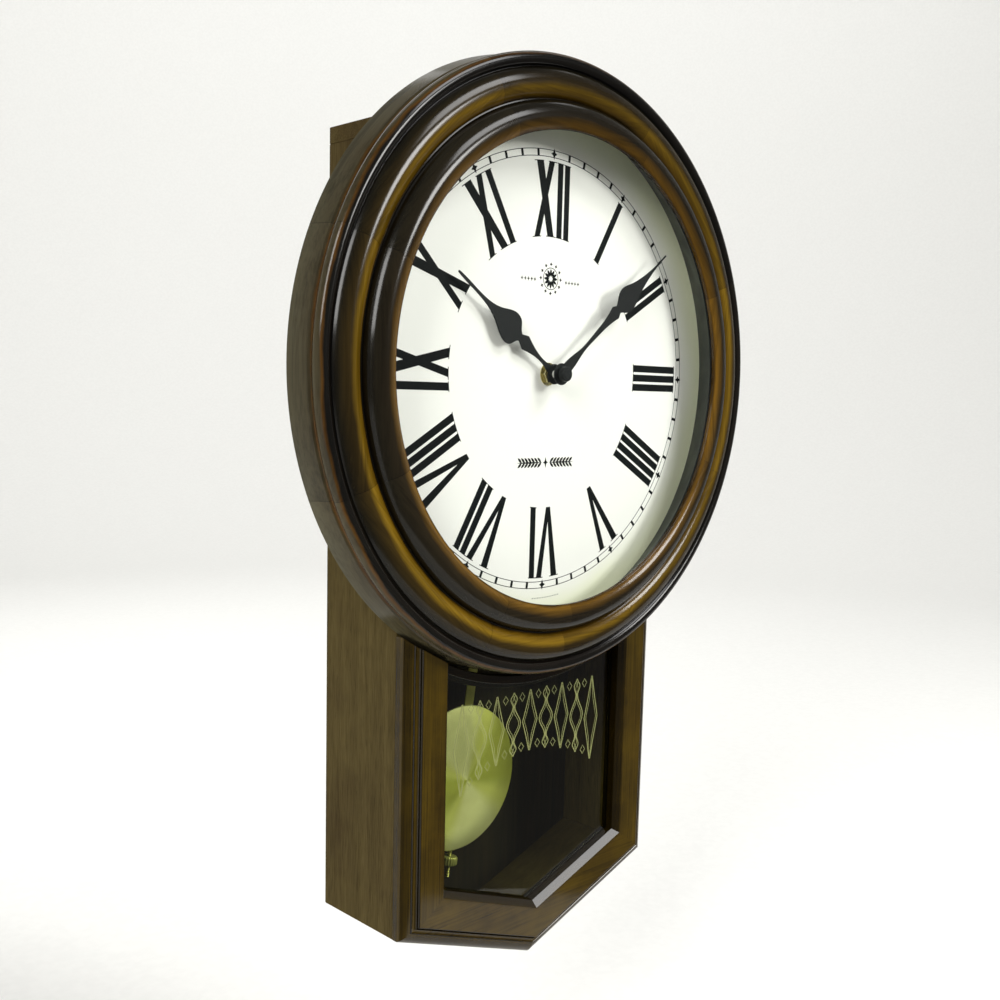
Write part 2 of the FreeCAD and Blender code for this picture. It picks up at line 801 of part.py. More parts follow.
def shaft(radius, start, end, bore=0):
    """a round shaft or pipe between two distances from the wall"""
    axis = FreeCAD.Vector(0, -1, 0)
    base = FreeCAD.Vector(0, -start, 0)
    solid = Part.makeCylinder(radius, end - start, base, axis)
    return solid.cut(Part.makeCylinder(bore, end - start, base, axis)) if bore else solid


def wheel(teeth, module, thickness, first_tooth, start):
    """a spur wheel at a distance from the wall"""
    blank = gear(teeth, value(module), value(thickness), first_tooth)
    blank.translate(FreeCAD.Vector(0, -value(start), 0))
    return blank


def motion_work():
    """the wheels under the dial that turn the hour hand once for twelve turns of the minute hand"""
    arbor_radius, gap = value("arbor_radius"), value("running_gap")
    arbor = shaft(arbor_radius, value("arbor_back - arbor_tail"), value("cap_front - cap_floor"))
    centre = wheel(CENTRE_TEETH, "centre_module", "centre_wheel_thickness", 0, "centre_wheel_start")
    cannon = wheel(CANNON_TEETH, "fine_module", "cannon_length", -90, "cannon_start")
    feature("minute_arbor", arbor.multiFuse([centre, cannon]))
    staff = shaft(arbor_radius, value("arbor_back - setting_tail"), value("setting_front"))
    pinion = wheel(PINION_TEETH, "coarse_module", "pinion_length", 90, "pinion_start")
    reverser = wheel(REVERSER_TEETH, "fine_module", "reverser_thickness", 95, "reverser_start")
    feature("minute_wheel", staff.multiFuse([reverser, pinion]), up="-wheel_distance")
    bore = arbor_radius + gap
    pipe = shaft(value("pipe_radius"), value("hour_wheel_start"),
                 value("hour_hand_start + hand_thickness + 0.5"), bore)
    rim = wheel(HOUR_TEETH, "coarse_module", "hour_wheel_thickness", -85.5, "hour_wheel_start")
    rim = rim.cut(shaft(bore, value("hour_wheel_start - 1"), value("hour_wheel_start + 3")))
    feature("hour_wheel", rim.fuse(pipe))


def set_knob():
    """the knurled knob on the back that sets the hands"""
    start, shoulder = "( movement_back - knob_gap )", "( movement_back - knob_gap + knob_depth )"
    knob = turned("set_knob", [("arbor_radius", start), ("knob_radius - 0.6", start),
                               ("knob_radius", f"{start} + 0.6"), ("knob_radius", shoulder),
                               ("knob_neck", shoulder), ("knob_neck", f"{shoulder} + 1"),
                               ("arbor_radius", f"{shoulder} + 1")], kept=False)
    place(knob, up="-wheel_distance")
    keep(knob, "set_knob")


def movement():
    movement_covers()
    battery()
    contacts()
    step_motor()
    motion_work()
    set_knob()
    tube("centre_bush", "bush_bore", "bush_radius", "case_depth", "bush_front - case_depth")
    tube("dial_washer", "bush_radius + 0.05", "washer_radius", "dial_face", "washer_thickness")
    turns = [math.radians(60 * side) for side in range(6)]
    hexagon = [(f"nut_radius * {math.cos(turn):.6f}", f"nut_radius * {math.sin(turn):.6f}") for turn in turns]
    nut = plate("dial_nut", hexagon, "dial_face + washer_thickness", "nut_thickness")
    cut_circle(nut, "bush_radius")


# ---------------------------------------------------------------- hands

def side_curve(stations, sign):
    """a smooth edge of a hand through its stations"""
    curve = Part.BSplineCurve()
    curve.interpolate([FreeCAD.Vector(sign * half, 0, reach) for reach, half in stations])
    return curve.toShape()


def hand(label, stem, spade, hub_radius, bore, start, angle):
    """a flat steel hand with a round hub, a swelling stem, a cusp and a spade that ends in a long point"""
    edges = []
    for sign in (-1, 1):
        edges.append(side_curve(stem, sign))
        edges.append(Part.makeLine(FreeCAD.Vector(sign * stem[-1][1], 0, stem[-1][0]),
                                   FreeCAD.Vector(sign * spade[0][1], 0, spade[0][0])))
        edges.append(side_curve(spade, sign))
    for reach, half in (stem[0], spade[-1]):
        edges.append(Part.makeLine(FreeCAD.Vector(-half, 0, reach), FreeCAD.Vector(half, 0, reach)))
    thickness = value("hand_thickness")
    blade = Part.Face(Part.Wire(Part.__sortEdges__(edges))).extrude(FreeCAD.Vector(0, -thickness, 0))
    solid = blade.fuse(shaft(value(hub_radius), 0, thickness)).cut(shaft(value(bore), 0, thickness))
    made = feature(label, solid.removeSplitter(), start=start)
    made.Placement.Rotation = FreeCAD.Rotation(FreeCAD.Vector(0, 1, 0), value(angle))


def hands():
    hand("hour_hand", HOUR_STEM, HOUR_SPADE, "hour_hub", "pipe_radius", "hour_hand_start", "hour_angle")
    hand("minute_hand", MINUTE_STEM, MINUTE_SPADE, "minute_hub", "arbor_radius", "minute_hand_start",
         "minute_angle")
    seat = "minute_hand_start + hand_thickness"
    shoulder = f"{seat} + cap_neck_length"
    turned("hand_nut", [("arbor_radius", seat), ("cap_neck", seat), ("cap_neck", shoulder),
                        ("cap_radius", shoulder), ("cap_radius", "cap_front - 0.5"),
                        ("cap_radius - 0.5", "cap_front"), ("0", "cap_front"), ("0", "cap_front - cap_floor"),
                        ("arbor_radius", "cap_front - cap_floor")])


# ---------------------------------------------------------------- pendulum

def at_pivot(thing, start="0"):
    """places a piece drawn around the pivot"""
    swing(thing)
    place(thing, start=start, up="-pivot_drop")
    return thing


def pivot_pin():
    """the headed pin on the back of the movement"""
    shank_start = "( pendulum_start - hanger_thickness - 1 )"
    pin = rod("pin_shank", "pivot_radius", shank_start, f"movement_back - {shank_start}", up="-pivot_drop",
              kept=False)
    head = rod("pin_head", "pin_head_radius", f"{shank_start} - 1", "1", up="-pivot_drop", kept=False)
    fused("pendulum_pivot", [pin, head])


def pendulum():
    pivot_pin()
    corners = box(across("hanger_half_width"), "-hanger_drop", "hanger_half_width", "hanger_half_width")
    start = "pendulum_start - hanger_thickness"
    arm = plate("pendulum_hanger", corners, start, "hanger_thickness")
    cut_circle(arm, "pivot_radius + running_gap")
    at_pivot(arm, start)
    rod("drive_magnet", "drive_radius", "pendulum_start + rod_thickness", "drive_length",
        "-drive_drop * sin( swing_angle )", "-drive_drop * cos( swing_angle ) - pivot_drop")
    corners = box(across("rod_half_width"), "-nut_drop + 4", "rod_half_width", "-rod_top")
    strip = plate("pendulum_rod", corners, "pendulum_start", "rod_thickness")
    at_pivot(strip, "pendulum_start")
    bob()
    rating_nut()


def bob():
    """two thin dished brass discs with the rod between them"""
    edge = "( pendulum_start + rod_thickness )"
    front = turned("pendulum_bob", [("0", edge), ("bob_radius", edge),
                                    ("bob_radius", f"{edge} + bob_skin", "bob_rise / 4"),
                                    ("bob_eye", f"{edge} + bob_skin + bob_rise"),
                                    ("0", f"{edge} + bob_skin + bob_rise")], drop="bob_drop")
    at_pivot(front)
    low = "pendulum_start"
    back = turned("bob_back", [("0", f"{low} - bob_back_rise"), ("bob_radius - 6", f"{low} - 0.8"),
                               ("bob_radius - 6", low), ("0", low)], drop="bob_drop")
    at_pivot(back)


def rating_nut():
    """the knurled nut that carries the bob, on the threaded end of the rod"""
    upright("rating_screw", "screw_radius", "screw_length", "-nut_drop - 12")
    nut = upright("rating_nut_blank", "rating_radius", "rating_height", "-nut_drop - 4", kept=False)
    bore = upright("rating_nut_bore", "screw_radius", "rating_height", "-nut_drop - 4", kept=False)
    cut("rating_nut", nut, bore)


def upright(label, radius, height, bottom, kept=True):
    """a cylinder on the pendulum's centre line, its foot at a height from the pivot"""
    cylinder = doc.addObject("Part::Cylinder", label)
    bind(cylinder, Radius=radius, Height=height)
    swing(cylinder)
    bind(cylinder, Placement__Base__x=f"( {bottom} ) * sin( swing_angle )",
         Placement__Base__y="-( pendulum_start + rod_thickness / 2 )",
         Placement__Base__z=f"( {bottom} ) * cos( swing_angle ) - pivot_drop - dial_drop")
    return keep(cylinder, label) if kept else cylinder


# ---------------------------------------------------------------- door

def door_profile():
    """the section of the door's frame, drawn where the left stile starts"""
    steps = [("0", "door_start"), ("0", "door_edge", "-cove_sink"), ("cove_width", "cove_front"),
             ("bead_edge", "bead_foot", "bead_rise"),
             ("bead_width", "bead_top"), ("door_quirk", "door_quirk_front"), ("flat_edge", "door_front"),
             ("flat_width", "door_front"), ("bevel_width", "bevel_front"), ("bevel_width", "rabbet_front"),
             ("rabbet_width", "rabbet_front"), ("rabbet_width", "door_start")]
    return [(f"-case_half_width + {step[0]}", across(step[1])) + tuple(step[2:]) for step in steps]


def door_frame():
    """the moulding swept round three sides of the door, with square mitred corners"""
    section = doc.addObject("Sketcher::SketchObject", "door_section")
    bind(section, Placement__Base__z="-dial_drop - cross_rail_top")
    draw(section, door_profile())
    spine = doc.addObject("Sketcher::SketchObject", "door_spine")
    spine.Placement.Rotation = FreeCAD.Rotation(FreeCAD.Vector(1, 0, 0), 90)
    bind(spine, Placement__Base__y="-door_start", Placement__Base__z="-dial_drop")
    top = "-cross_rail_top"
    corners = [("-case_half_width", top), foot_corner("0"), foot_point("0"), foot_corner("0", 1),
               ("case_half_width", top)]
    points = [FreeCAD.Vector(value(x), value(up), 0) for x, up in corners]
    for first, last in zip(points, points[1:]):
        spine.addGeometry(Part.LineSegment(first, last), False)
    for index in range(3):
        spine.addConstraint(Sketcher.Constraint("Coincident", index, 2, index + 1, 1))
    for index, (x, up) in enumerate(corners):
        edge, end = (index, 1) if index < 4 else (3, 2)
        for kind, text in (("DistanceX", x), ("DistanceY", up)):
            made = spine.addConstraint(Sketcher.Constraint(kind, -1, 1, edge, end, value(text)))
            spine.setExpression(f"Constraints[{made}]", expr(text))
    doc.recompute()
    frame = doc.addObject("Part::Sweep", "door_frame")
    frame.Sections = [section]
    frame.Spine = (spine, [f"Edge{number}" for number in range(1, 5)])
    frame.Solid = True
    frame.Transition = "Right corner"
    doc.recompute()
    return frame


def member(label, frame, corners, arched=False, recesses=()):
    """the stretch of the frame that lies inside an outline, less recesses in its back"""
    region = plate(label + "_region", corners, "door_start - 2", "16", kept=False)
    if arched:
        cut_circle(region, "door_arch")
    if not recesses:
        return common(label, frame, region)
    rest = common(label + "_whole", frame, region, kept=False)
    for number, recess in enumerate(recesses[:-1]):
        rest = cut(f"{label}_cut_{number}", rest, recess, kept=False)
    return cut(label, rest, recesses[-1])


def door_mortises():
    """the blocks that the door's hinge leaves are let into"""
    return [block(f"mortise_{height}", "case_half_width - leaf_width", "door_start - 1",
                  f"-{height} - hinge_height / 2", "leaf_width + 1", "leaf_thickness + 1", "hinge_height",
                  kept=False) for height in ("upper_hinge", "lower_hinge")]


def stile_corners(outer, inner, top):
    """the outline of a left upright between two insets"""
    return [foot_corner(outer), foot_corner(inner), (f"-case_half_width + {inner}", top),
            (f"-case_half_width + {outer}", top)]


def foot_corners(outer, inner):
    """the outline of a left foot rail between two insets"""
    return [foot_corner(outer), foot_point(outer), foot_point(inner), foot_corner(inner)]


def arched_band(label, inner, outer, half_width, start, thickness, kept=True):
    """a curved strip under the bezel"""
    corners = box(across(half_width), "-door_arch - 25", half_width, "-door_arch / 2")
    blank = plate(label + "_blank", corners, start, thickness, kept=False)
    cut_circle(blank, inner)
    disc = rod(label + "_disc", outer, start, thickness, kept=False)
    return common(label, blank, disc, kept)


def glass_beads():
    """thin strips that hold the door's glass in its rabbet"""
    start = "door_start - bead_strip"
    depth = "door_glass_front - door_glass_thickness - door_start + bead_strip"
    outer, inner, top = "( rabbet_width + 0.1 )", "( bevel_width - 0.1 )", "-door_arch + 6"
    left = stile_corners(outer, inner, top)
    foot = foot_corners(outer, inner)
    strips = [plate(f"glass_bead_{number}", corners, start, depth, kept=False)
              for number, corners in enumerate((left, mirrored(left), foot, mirrored(foot)))]
    half = "( case_half_width - bevel_width - 0.2 )"
    arch = "door_arch + top_rail_height"
    strips.append(arched_band("glass_bead_top", arch, arch + " + 3", half, start, depth, kept=False))
    group("glass_beads", strips)


def door():
    frame = door_frame()
    left = stile_corners("-1", "33", "-cross_rail_top - 8")
    foot = foot_corners("-1", "33")
    member("door_stile_left", frame, left, arched=True)
    member("door_stile_right", frame, mirrored(left), arched=True, recesses=door_mortises())
    member("door_rail_left", frame, foot, recesses=[strike_block("strike_recess", "1.8")])
    member("door_rail_right", frame, mirrored(foot))
    half = "( case_half_width - bevel_width - 0.05 )"
    arched_band("door_top_rail", "door_arch", "door_arch + top_rail_height", half, "door_start",
                "top_rail_front - door_start")
    inset = "( rabbet_width + 0.2 )"
    back = "door_glass_front - door_glass_thickness"
    glass = plate("door_glass", case_outline(inset, "-door_arch / 2"), back, "door_glass_thickness")
    cut_circle(glass, "door_arch + top_rail_height + 0.1")
    glass_beads()


# ---------------------------------------------------------------- hinges and catch

def barrel(label, radius, bottom, height):
    """an upright cylinder on the hinge's axis"""
    cylinder = doc.addObject("Part::Cylinder", label)
    bind(cylinder, Radius=radius, Height=height)
    place(cylinder, "hinge_axis", "hinge_start", bottom)
    return cylinder


def leaf(label, height, start, knuckle_rows):
    """a hinge leaf with its knuckles, let into the wood"""
    bottom = f"( -{height} - hinge_height / 2 )"
    rows = [f"{bottom} + {row} * hinge_height / 3" for row in range(3)]
    strip = block(label + "_strip", "case_half_width - leaf_width + 0.1", start, f"{bottom} + 0.1",
                  "hinge_axis - case_half_width + leaf_width - 0.1", "leaf_thickness - 0.1",
                  "hinge_height - 0.2", kept=False)
    for row in set(range(3)) - set(knuckle_rows):
        gap = barrel(f"{label}_gap_{row}", "knuckle_radius + 0.3", rows[row] + " - 0.1",
                     "hinge_height / 3 + 0.2")
        strip = cut(f"{label}_notched_{row}", strip, gap, kept=False)
    knuckles = [barrel(f"{label}_knuckle_{row}", "knuckle_radius", rows[row] + " + 0.1", "knuckle_height")
                for row in knuckle_rows]
    solid = fused(label + "_solid", [strip] + knuckles, kept=False)
    bore = barrel(label + "_bore", "pin_radius + running_gap", f"{bottom} - 1", "hinge_height + 2")
    return cut(label, solid, bore, kept=False)


def hinges():
    """two butt hinges on the right, the case's leaves with two knuckles and the door's with one"""
    names = (("upper", "upper_hinge"), ("lower", "lower_hinge"))
    group("hinge_case_leaves", [leaf(f"case_leaf_{name}", height, "case_depth - leaf_thickness", (0, 2))
                                for name, height in names])
    group("hinge_door_leaves", [leaf(f"door_leaf_{name}", height, "door_start + 0.1", (1,))
                                for name, height in names])
    group("hinge_pins", [barrel(f"hinge_pin_{name}", "pin_radius", f"-{height} - hinge_height / 2 - 0.4",
                                "hinge_height + 0.8") for name, height in names])


def on_foot(label, over, rise, front, length, depth, height):
    """a block square to the left foot panel; over and rise run along and above the panel's inner face"""
    thing = doc.addObject("Part::Box", label)
    thing.Placement.Rotation = FreeCAD.Rotation(FreeCAD.Vector(0, 1, 0), 1)
    bind(thing, Length=length, Width=depth, Height=height, Placement__Rotation__Angle="atan(foot_slope)")
    along, up = "cos(atan(foot_slope))", "sin(atan(foot_slope))"
    bind(thing, Placement__Base__x=f"-catch_offset + ({over}) * {along} + ({rise}) * {up}",
         Placement__Base__y=f"-({front})",
         Placement__Base__z=f"-foot_depth + catch_offset * foot_slope + panel_thickness / {along}"
                            f" - ({over}) * {up} + ({rise}) * {along} - dial_drop")
    return thing


def strike_block(label, depth):
    """the place of the strike plate in the door's left foot rail"""
    return on_foot(label, "3 - catch_half_length", "1", "door_start + 1", "2 * catch_half_length - 6", depth,
                   "catch_height - 2")


def catch():
    """a magnetic catch on the left foot panel and the steel strike on the door"""
    left = "-catch_half_length"
    shell = on_foot("catch_shell", left, "0", "case_depth - 0.6", "2 * catch_half_length", "catch_depth",
                    "catch_height")
    recess = on_foot("catch_recess", left + " + 3", "2", "case_depth", "2 * catch_half_length - 6", "7.7",
                     "catch_height - 4")
    cut("catch_body", shell, recess)
    magnet = on_foot("catch_magnet", left + " + 3.1", "2.1", "case_depth - 0.2",
                     "2 * catch_half_length - 6.2", "7.5", "catch_height - 4.2")
    keep(magnet, "catch_magnet")
    keep(strike_block("strike_plate", "0.8"), "strike_plate")


case()
dial()
movement()
hands()
pendulum()
door()
hinges()
catch()
doc.recompute()

# ---------------------------------------------------------------- checks and files

for thing in doc.Objects:
    bad = [state for state in thing.State if state in ("Invalid", "Error")]
    assert not bad, f"{thing.Label}: {thing.State}"
for node in nodes:
    assert not node.Shape.isNull(), node.Label + " is empty"
    assert node.Shape.isValid(), node.Label + " is not valid"
    assert node.Shape.Volume > 0, node.Label + " has no volume"

os.makedirs("parts", exist_ok=True)
for node in nodes:
    node.Shape.exportStep(f"parts/{node.Label}.step")
    print(f"{node.Label:24s} {len(node.Shape.Solids)} solids {node.Shape.Volume:12.1f} mm3")
print(len(nodes), "nodes")
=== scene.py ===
import json
import math

import bmesh
import bpy
from mathutils import Matrix, Vector


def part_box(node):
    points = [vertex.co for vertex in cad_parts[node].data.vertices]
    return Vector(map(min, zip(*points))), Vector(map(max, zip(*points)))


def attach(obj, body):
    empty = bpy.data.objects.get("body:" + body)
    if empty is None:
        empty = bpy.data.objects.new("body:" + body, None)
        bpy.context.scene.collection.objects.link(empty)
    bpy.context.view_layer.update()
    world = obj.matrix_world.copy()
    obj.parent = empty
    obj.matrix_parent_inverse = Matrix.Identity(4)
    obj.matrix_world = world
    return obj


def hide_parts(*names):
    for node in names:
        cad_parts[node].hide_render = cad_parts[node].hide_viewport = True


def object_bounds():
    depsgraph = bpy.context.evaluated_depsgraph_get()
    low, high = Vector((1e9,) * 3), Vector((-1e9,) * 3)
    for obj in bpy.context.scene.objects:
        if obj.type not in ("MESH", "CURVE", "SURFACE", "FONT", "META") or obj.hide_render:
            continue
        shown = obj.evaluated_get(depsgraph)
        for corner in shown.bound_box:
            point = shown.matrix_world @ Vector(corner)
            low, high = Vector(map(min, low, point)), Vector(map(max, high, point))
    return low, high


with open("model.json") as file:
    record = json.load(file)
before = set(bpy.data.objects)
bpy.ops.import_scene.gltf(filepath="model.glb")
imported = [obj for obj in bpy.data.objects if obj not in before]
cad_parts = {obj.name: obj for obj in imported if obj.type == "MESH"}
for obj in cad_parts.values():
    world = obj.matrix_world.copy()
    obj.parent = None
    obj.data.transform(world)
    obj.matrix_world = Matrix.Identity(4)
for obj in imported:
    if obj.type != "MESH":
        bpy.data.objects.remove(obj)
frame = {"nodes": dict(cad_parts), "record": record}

# A pendulum wall clock in a dark stained wooden case. Metres, in the CAD's frame: +Z is up, the clock faces
# -Y and the wall is Y = 0. Shapes are drawn in front view around the centre of the dial, in millimetres:
# right, up, and "out", the distance from the wall.

cad_box = [list(corner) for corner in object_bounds()]
scene = bpy.context.scene
MM = 0.001

dial_low, dial_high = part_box("dial_plate")
CENTRE_X = (dial_low.x + dial_high.x) / 2
CENTRE_Z = (dial_low.z + dial_high.z) / 2
DIAL_FACE = -dial_low.y / MM
side_low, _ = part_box("side_panel_left")
foot_low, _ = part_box("bottom_panel_left")
HALF_WIDTH = -side_low.x / MM
# The foot is a shallow V: the height of its corners, its lowest point, and its slope.
CORNER = (side_low.z - CENTRE_Z) / MM
VERTEX = (foot_low.z - CENTRE_Z) / MM
SLOPE = (CORNER - VERTEX) / HALF_WIDTH
EDGE = math.sqrt(1 + SLOPE ** 2)


def at(right, up, out):
    """the place in metres of a point in front view"""
    return Vector((CENTRE_X + right * MM, -out * MM, CENTRE_Z + up * MM))


def around(radius, angle, out):
    """a point at a radius from the dial's centre and an angle clockwise from twelve, in radians"""
    return at(radius * math.sin(angle), radius * math.cos(angle), out)


def outs(node):
    """how far out a node's back and front are"""
    low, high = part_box(node)
    return -high.y / MM, -low.y / MM


def centre_of(box):
    """the middle of a box in front view"""
    middle = (box[0] + box[1]) / 2
    return (middle.x - CENTRE_X) / MM, (middle.z - CENTRE_Z) / MM


# ---------------------------------------------------------------- shader helpers

class Shader:
    """a material with short calls for the nodes it is made of"""

    def __init__(self, name, **sockets):
        self.material = bpy.data.materials.new(name)
        self.material.use_nodes = True
        self.tree = self.material.node_tree
        self.surface = self.tree.nodes["Principled BSDF"]
        self.set(self.surface, sockets)
        self.place = self.node("ShaderNodeTexCoord").outputs["Object"]

    def set(self, node, sockets):
        """gives sockets a value or a link; a socket is a name, or _ and its number"""
        for name, value in sockets.items():
            socket = node.inputs[int(name[1:]) if name[0] == "_" else name.replace("_", " ")]
            if isinstance(value, bpy.types.NodeSocket):
                self.tree.links.new(value, socket)
            else:
                socket.default_value = value

    def node(self, kind, settings=None, **sockets):
        """a new node with its settings and sockets"""
        made = self.tree.nodes.new(kind)
        for name, value in (settings or {}).items():
            setattr(made, name, value)
        self.set(made, sockets)
        return made

    def math(self, operation, first, second=0.0):
        return self.node("ShaderNodeMath", {"operation": operation}, _0=first, _1=second).outputs[0]

    def plus(self, first, second):
        return self.math("ADD", first, second)

    def minus(self, first, second):
        return self.math("SUBTRACT", first, second)

    def times(self, first, second):
        return self.math("MULTIPLY", first, second)

    def over(self, first, second):
        return self.math("DIVIDE", first, second)

    def blend(self, first, second, share):
        """a weighted sum; share is the first one's"""
        return self.plus(self.times(first, share), self.times(second, 1 - share))

    def span(self, right, up):
        """the length of a vector in front view"""
        square = self.plus(self.times(right, right), self.times(up, up))
        return self.math("SQRT", square)

    def stretch(self, scale):
        """coordinates scaled by three factors, which are features per metre"""
        return self.node("ShaderNodeMapping", Vector=self.place, Scale=scale).outputs[0]

    def noise(self, vector, scale=1.0, detail=4.0, roughness=0.55, distortion=0.0):
        made = self.node("ShaderNodeTexNoise", Vector=vector, Scale=scale, Detail=detail,
                         Roughness=roughness, Distortion=distortion)
        return made.outputs["Fac"]

    def ramp(self, factor, stops, smooth=True):
        """a colour or grey for each position; a grey is one number"""
        made = self.node("ShaderNodeValToRGB", Fac=factor)
        band = made.color_ramp
        band.interpolation = "EASE" if smooth else "LINEAR"
        while len(band.elements) < len(stops):
            band.elements.new(0.5)
        for element, (position, colour) in zip(band.elements, sorted(stops, key=lambda stop: stop[0])):
            element.position = position
            grey = isinstance(colour, (int, float))
            element.color = (colour, colour, colour, 1) if grey else (*colour, 1)
        return made.outputs["Color"]

    def mix(self, factor, first, second, kind="MIX"):
        """two colours mixed; the factor is the second one's share"""
        made = self.node("ShaderNodeMix", {"data_type": "RGBA", "blend_type": kind, "clamp_result": True})
        for socket, value in ((made.inputs[0], factor), (made.inputs[6], first), (made.inputs[7], second)):
            if isinstance(value, bpy.types.NodeSocket):
                self.tree.links.new(value, socket)
            else:
                socket.default_value = (*value, 1) if isinstance(value, tuple) else value
        return made.outputs[2]

    def tinted(self, colour, tint):
        """a colour multiplied by another"""
        return self.mix(1.0, colour, tint, "MULTIPLY")

    def bump(self, height, distance, strength):
        made = self.node("ShaderNodeBump", Height=height, Distance=distance, Strength=strength)
        return made.outputs["Normal"]

    def finish(self, colour, roughness, normal):
        """links the look to the shader and gives the material"""
        for name, value in (("Base Color", colour), ("Roughness", roughness), ("Normal", normal)):
            self.tree.links.new(value, self.surface.inputs[name])
        return self.material


def polar(shader):
    """radius from the dial's centre in millimetres, angle clockwise from twelve, and depth in metres"""
    parts = shader.node("ShaderNodeSeparateXYZ", Vector=shader.place)
    right = shader.minus(parts.outputs[0], CENTRE_X)
    up = shader.minus(parts.outputs[2], CENTRE_Z)
    radius = shader.times(shader.span(right, up), 1 / MM)
    return radius, shader.math("ARCTAN2", right, up), parts.outputs[1]


# ---------------------------------------------------------------- materials

def stained(name, dark, light, along=(900, 900, 16), amber=None, coat=0.45, rough=(0.32, 0.5), moulding=None):
    """stained wood under a rubbed satin lacquer; moulding darkens it by the inset from the door's edge, a
    painted shade in the cove, the quirks and the inner bevel
    """
    wood = Shader(name, Coat_Weight=coat, Coat_Roughness=0.09, Specular_IOR_Level=0.0)
    fine = wood.noise(wood.stretch(along), 1.0, 5, 0.6)
    broad = wood.noise(wood.stretch(tuple(value / 9 for value in along)), 1.0, 3, 0.5, 0.6)
    cloud = wood.noise(wood.place, 38, 4, 0.6)
    colour = wood.ramp(wood.blend(fine, broad, 0.65), [(0.26, dark), (0.74, light)])
    if amber:
        patch = wood.ramp(cloud, [(0.36, 0.12), (0.7, 0.6)])
        colour = wood.mix(patch, colour, wood.mix(fine, light, amber))
    patches = wood.noise(wood.place, 13, 3, 0.5)
    colour = wood.tinted(colour, wood.ramp(patches, [(0.34, (0.68, 0.64, 0.66)), (0.66, (1.0, 1.0, 0.96))]))
    pores = wood.noise(wood.stretch(tuple(value * 1.6 for value in along)), 1.0, 2, 0.4)
    pore_mask = wood.ramp(pores, [(0.3, 0.6), (0.42, 1.0)])
    colour = wood.tinted(colour, pore_mask)
    # Painted shade across the door's moulding: darker in the cove, the quirks and the inner bevel.
    if moulding:
        inset = wood.plus(frame_inset(wood), wood.times(cloud, 0.3))
        stops = [(place / DOOR_WIDTH, grey) for place, grey in moulding]
        tones = wood.ramp(wood.over(inset, DOOR_WIDTH), stops, smooth=False)
        colour = wood.tinted(colour, tones)
    roughness = wood.ramp(wood.noise(wood.place, 60, 4, 0.6), [(0.3, rough[0]), (0.7, rough[1])])
    return wood.finish(colour, roughness, wood.bump(wood.blend(fine, pore_mask, 0.5), 0.00006, 0.55))


DOOR_WIDTH = 32.0
# Inset from the door's edge in millimetres and the tone there: painted shade, dark in the cove, the quirks
# and the inner bevel.
DOOR_SHADE_TONES = [(0.0, 0.35), (0.5, 0.95), (1.4, 0.42), (5.2, 0.5), (6.1, 0.9), (6.55, 0.10), (7.1, 0.5),
              (8.2, 1.0), (9.4, 0.45), (9.95, 0.08), (10.6, 0.2), (11.4, 1.0), (26.6, 1.0), (27.9, 0.8),
              (28.6, 0.35), (31.6, 0.18)]


def frame_inset(shader):
    """how far in from the door's outer edge a point is, in millimetres"""
    parts = shader.node("ShaderNodeSeparateXYZ", Vector=shader.place)
    across = shader.math("ABSOLUTE", shader.minus(parts.outputs[0], CENTRE_X))
    right = shader.times(across, 1 / MM)
    up = shader.times(shader.minus(parts.outputs[2], CENTRE_Z), 1 / MM)
    from_side = shader.minus(HALF_WIDTH, right)
    above = shader.minus(up, shader.plus(shader.times(right, SLOPE), VERTEX))
    return shader.math("MINIMUM", from_side, shader.over(above, EDGE))


SEGMENTS = 8
SEGMENT = 2 * math.pi / SEGMENTS
# Radius in millimetres and the stain's tone there: rubbed through to amber on the crests, dark in the quirks.
BEZEL_TONES = [
    (131.0, (0.020, 0.011, 0.003)), (133.0, (0.16, 0.082, 0.009)), (135.2, (0.100, 0.054, 0.008)),
    (138.2, (0.022, 0.016, 0.008)), (146.0, (0.014, 0.012, 0.007)), (148.2, (0.003, 0.002, 0.001)),
    (150.2, (0.13, 0.072, 0.005)), (154.0, (0.20, 0.120, 0.008)), (157.0, (0.042, 0.026, 0.005)),
    (163.6, (0.012, 0.010, 0.005)), (165.2, (0.002, 0.0015, 0.001)), (167.0, (0.010, 0.008, 0.006)),
    (170.4, (0.007, 0.007, 0.006)), (171.6, (0.10, 0.046, 0.009)), (172.3, (0.060, 0.048, 0.024)),
    (175.2, (0.092, 0.084, 0.052)),
]


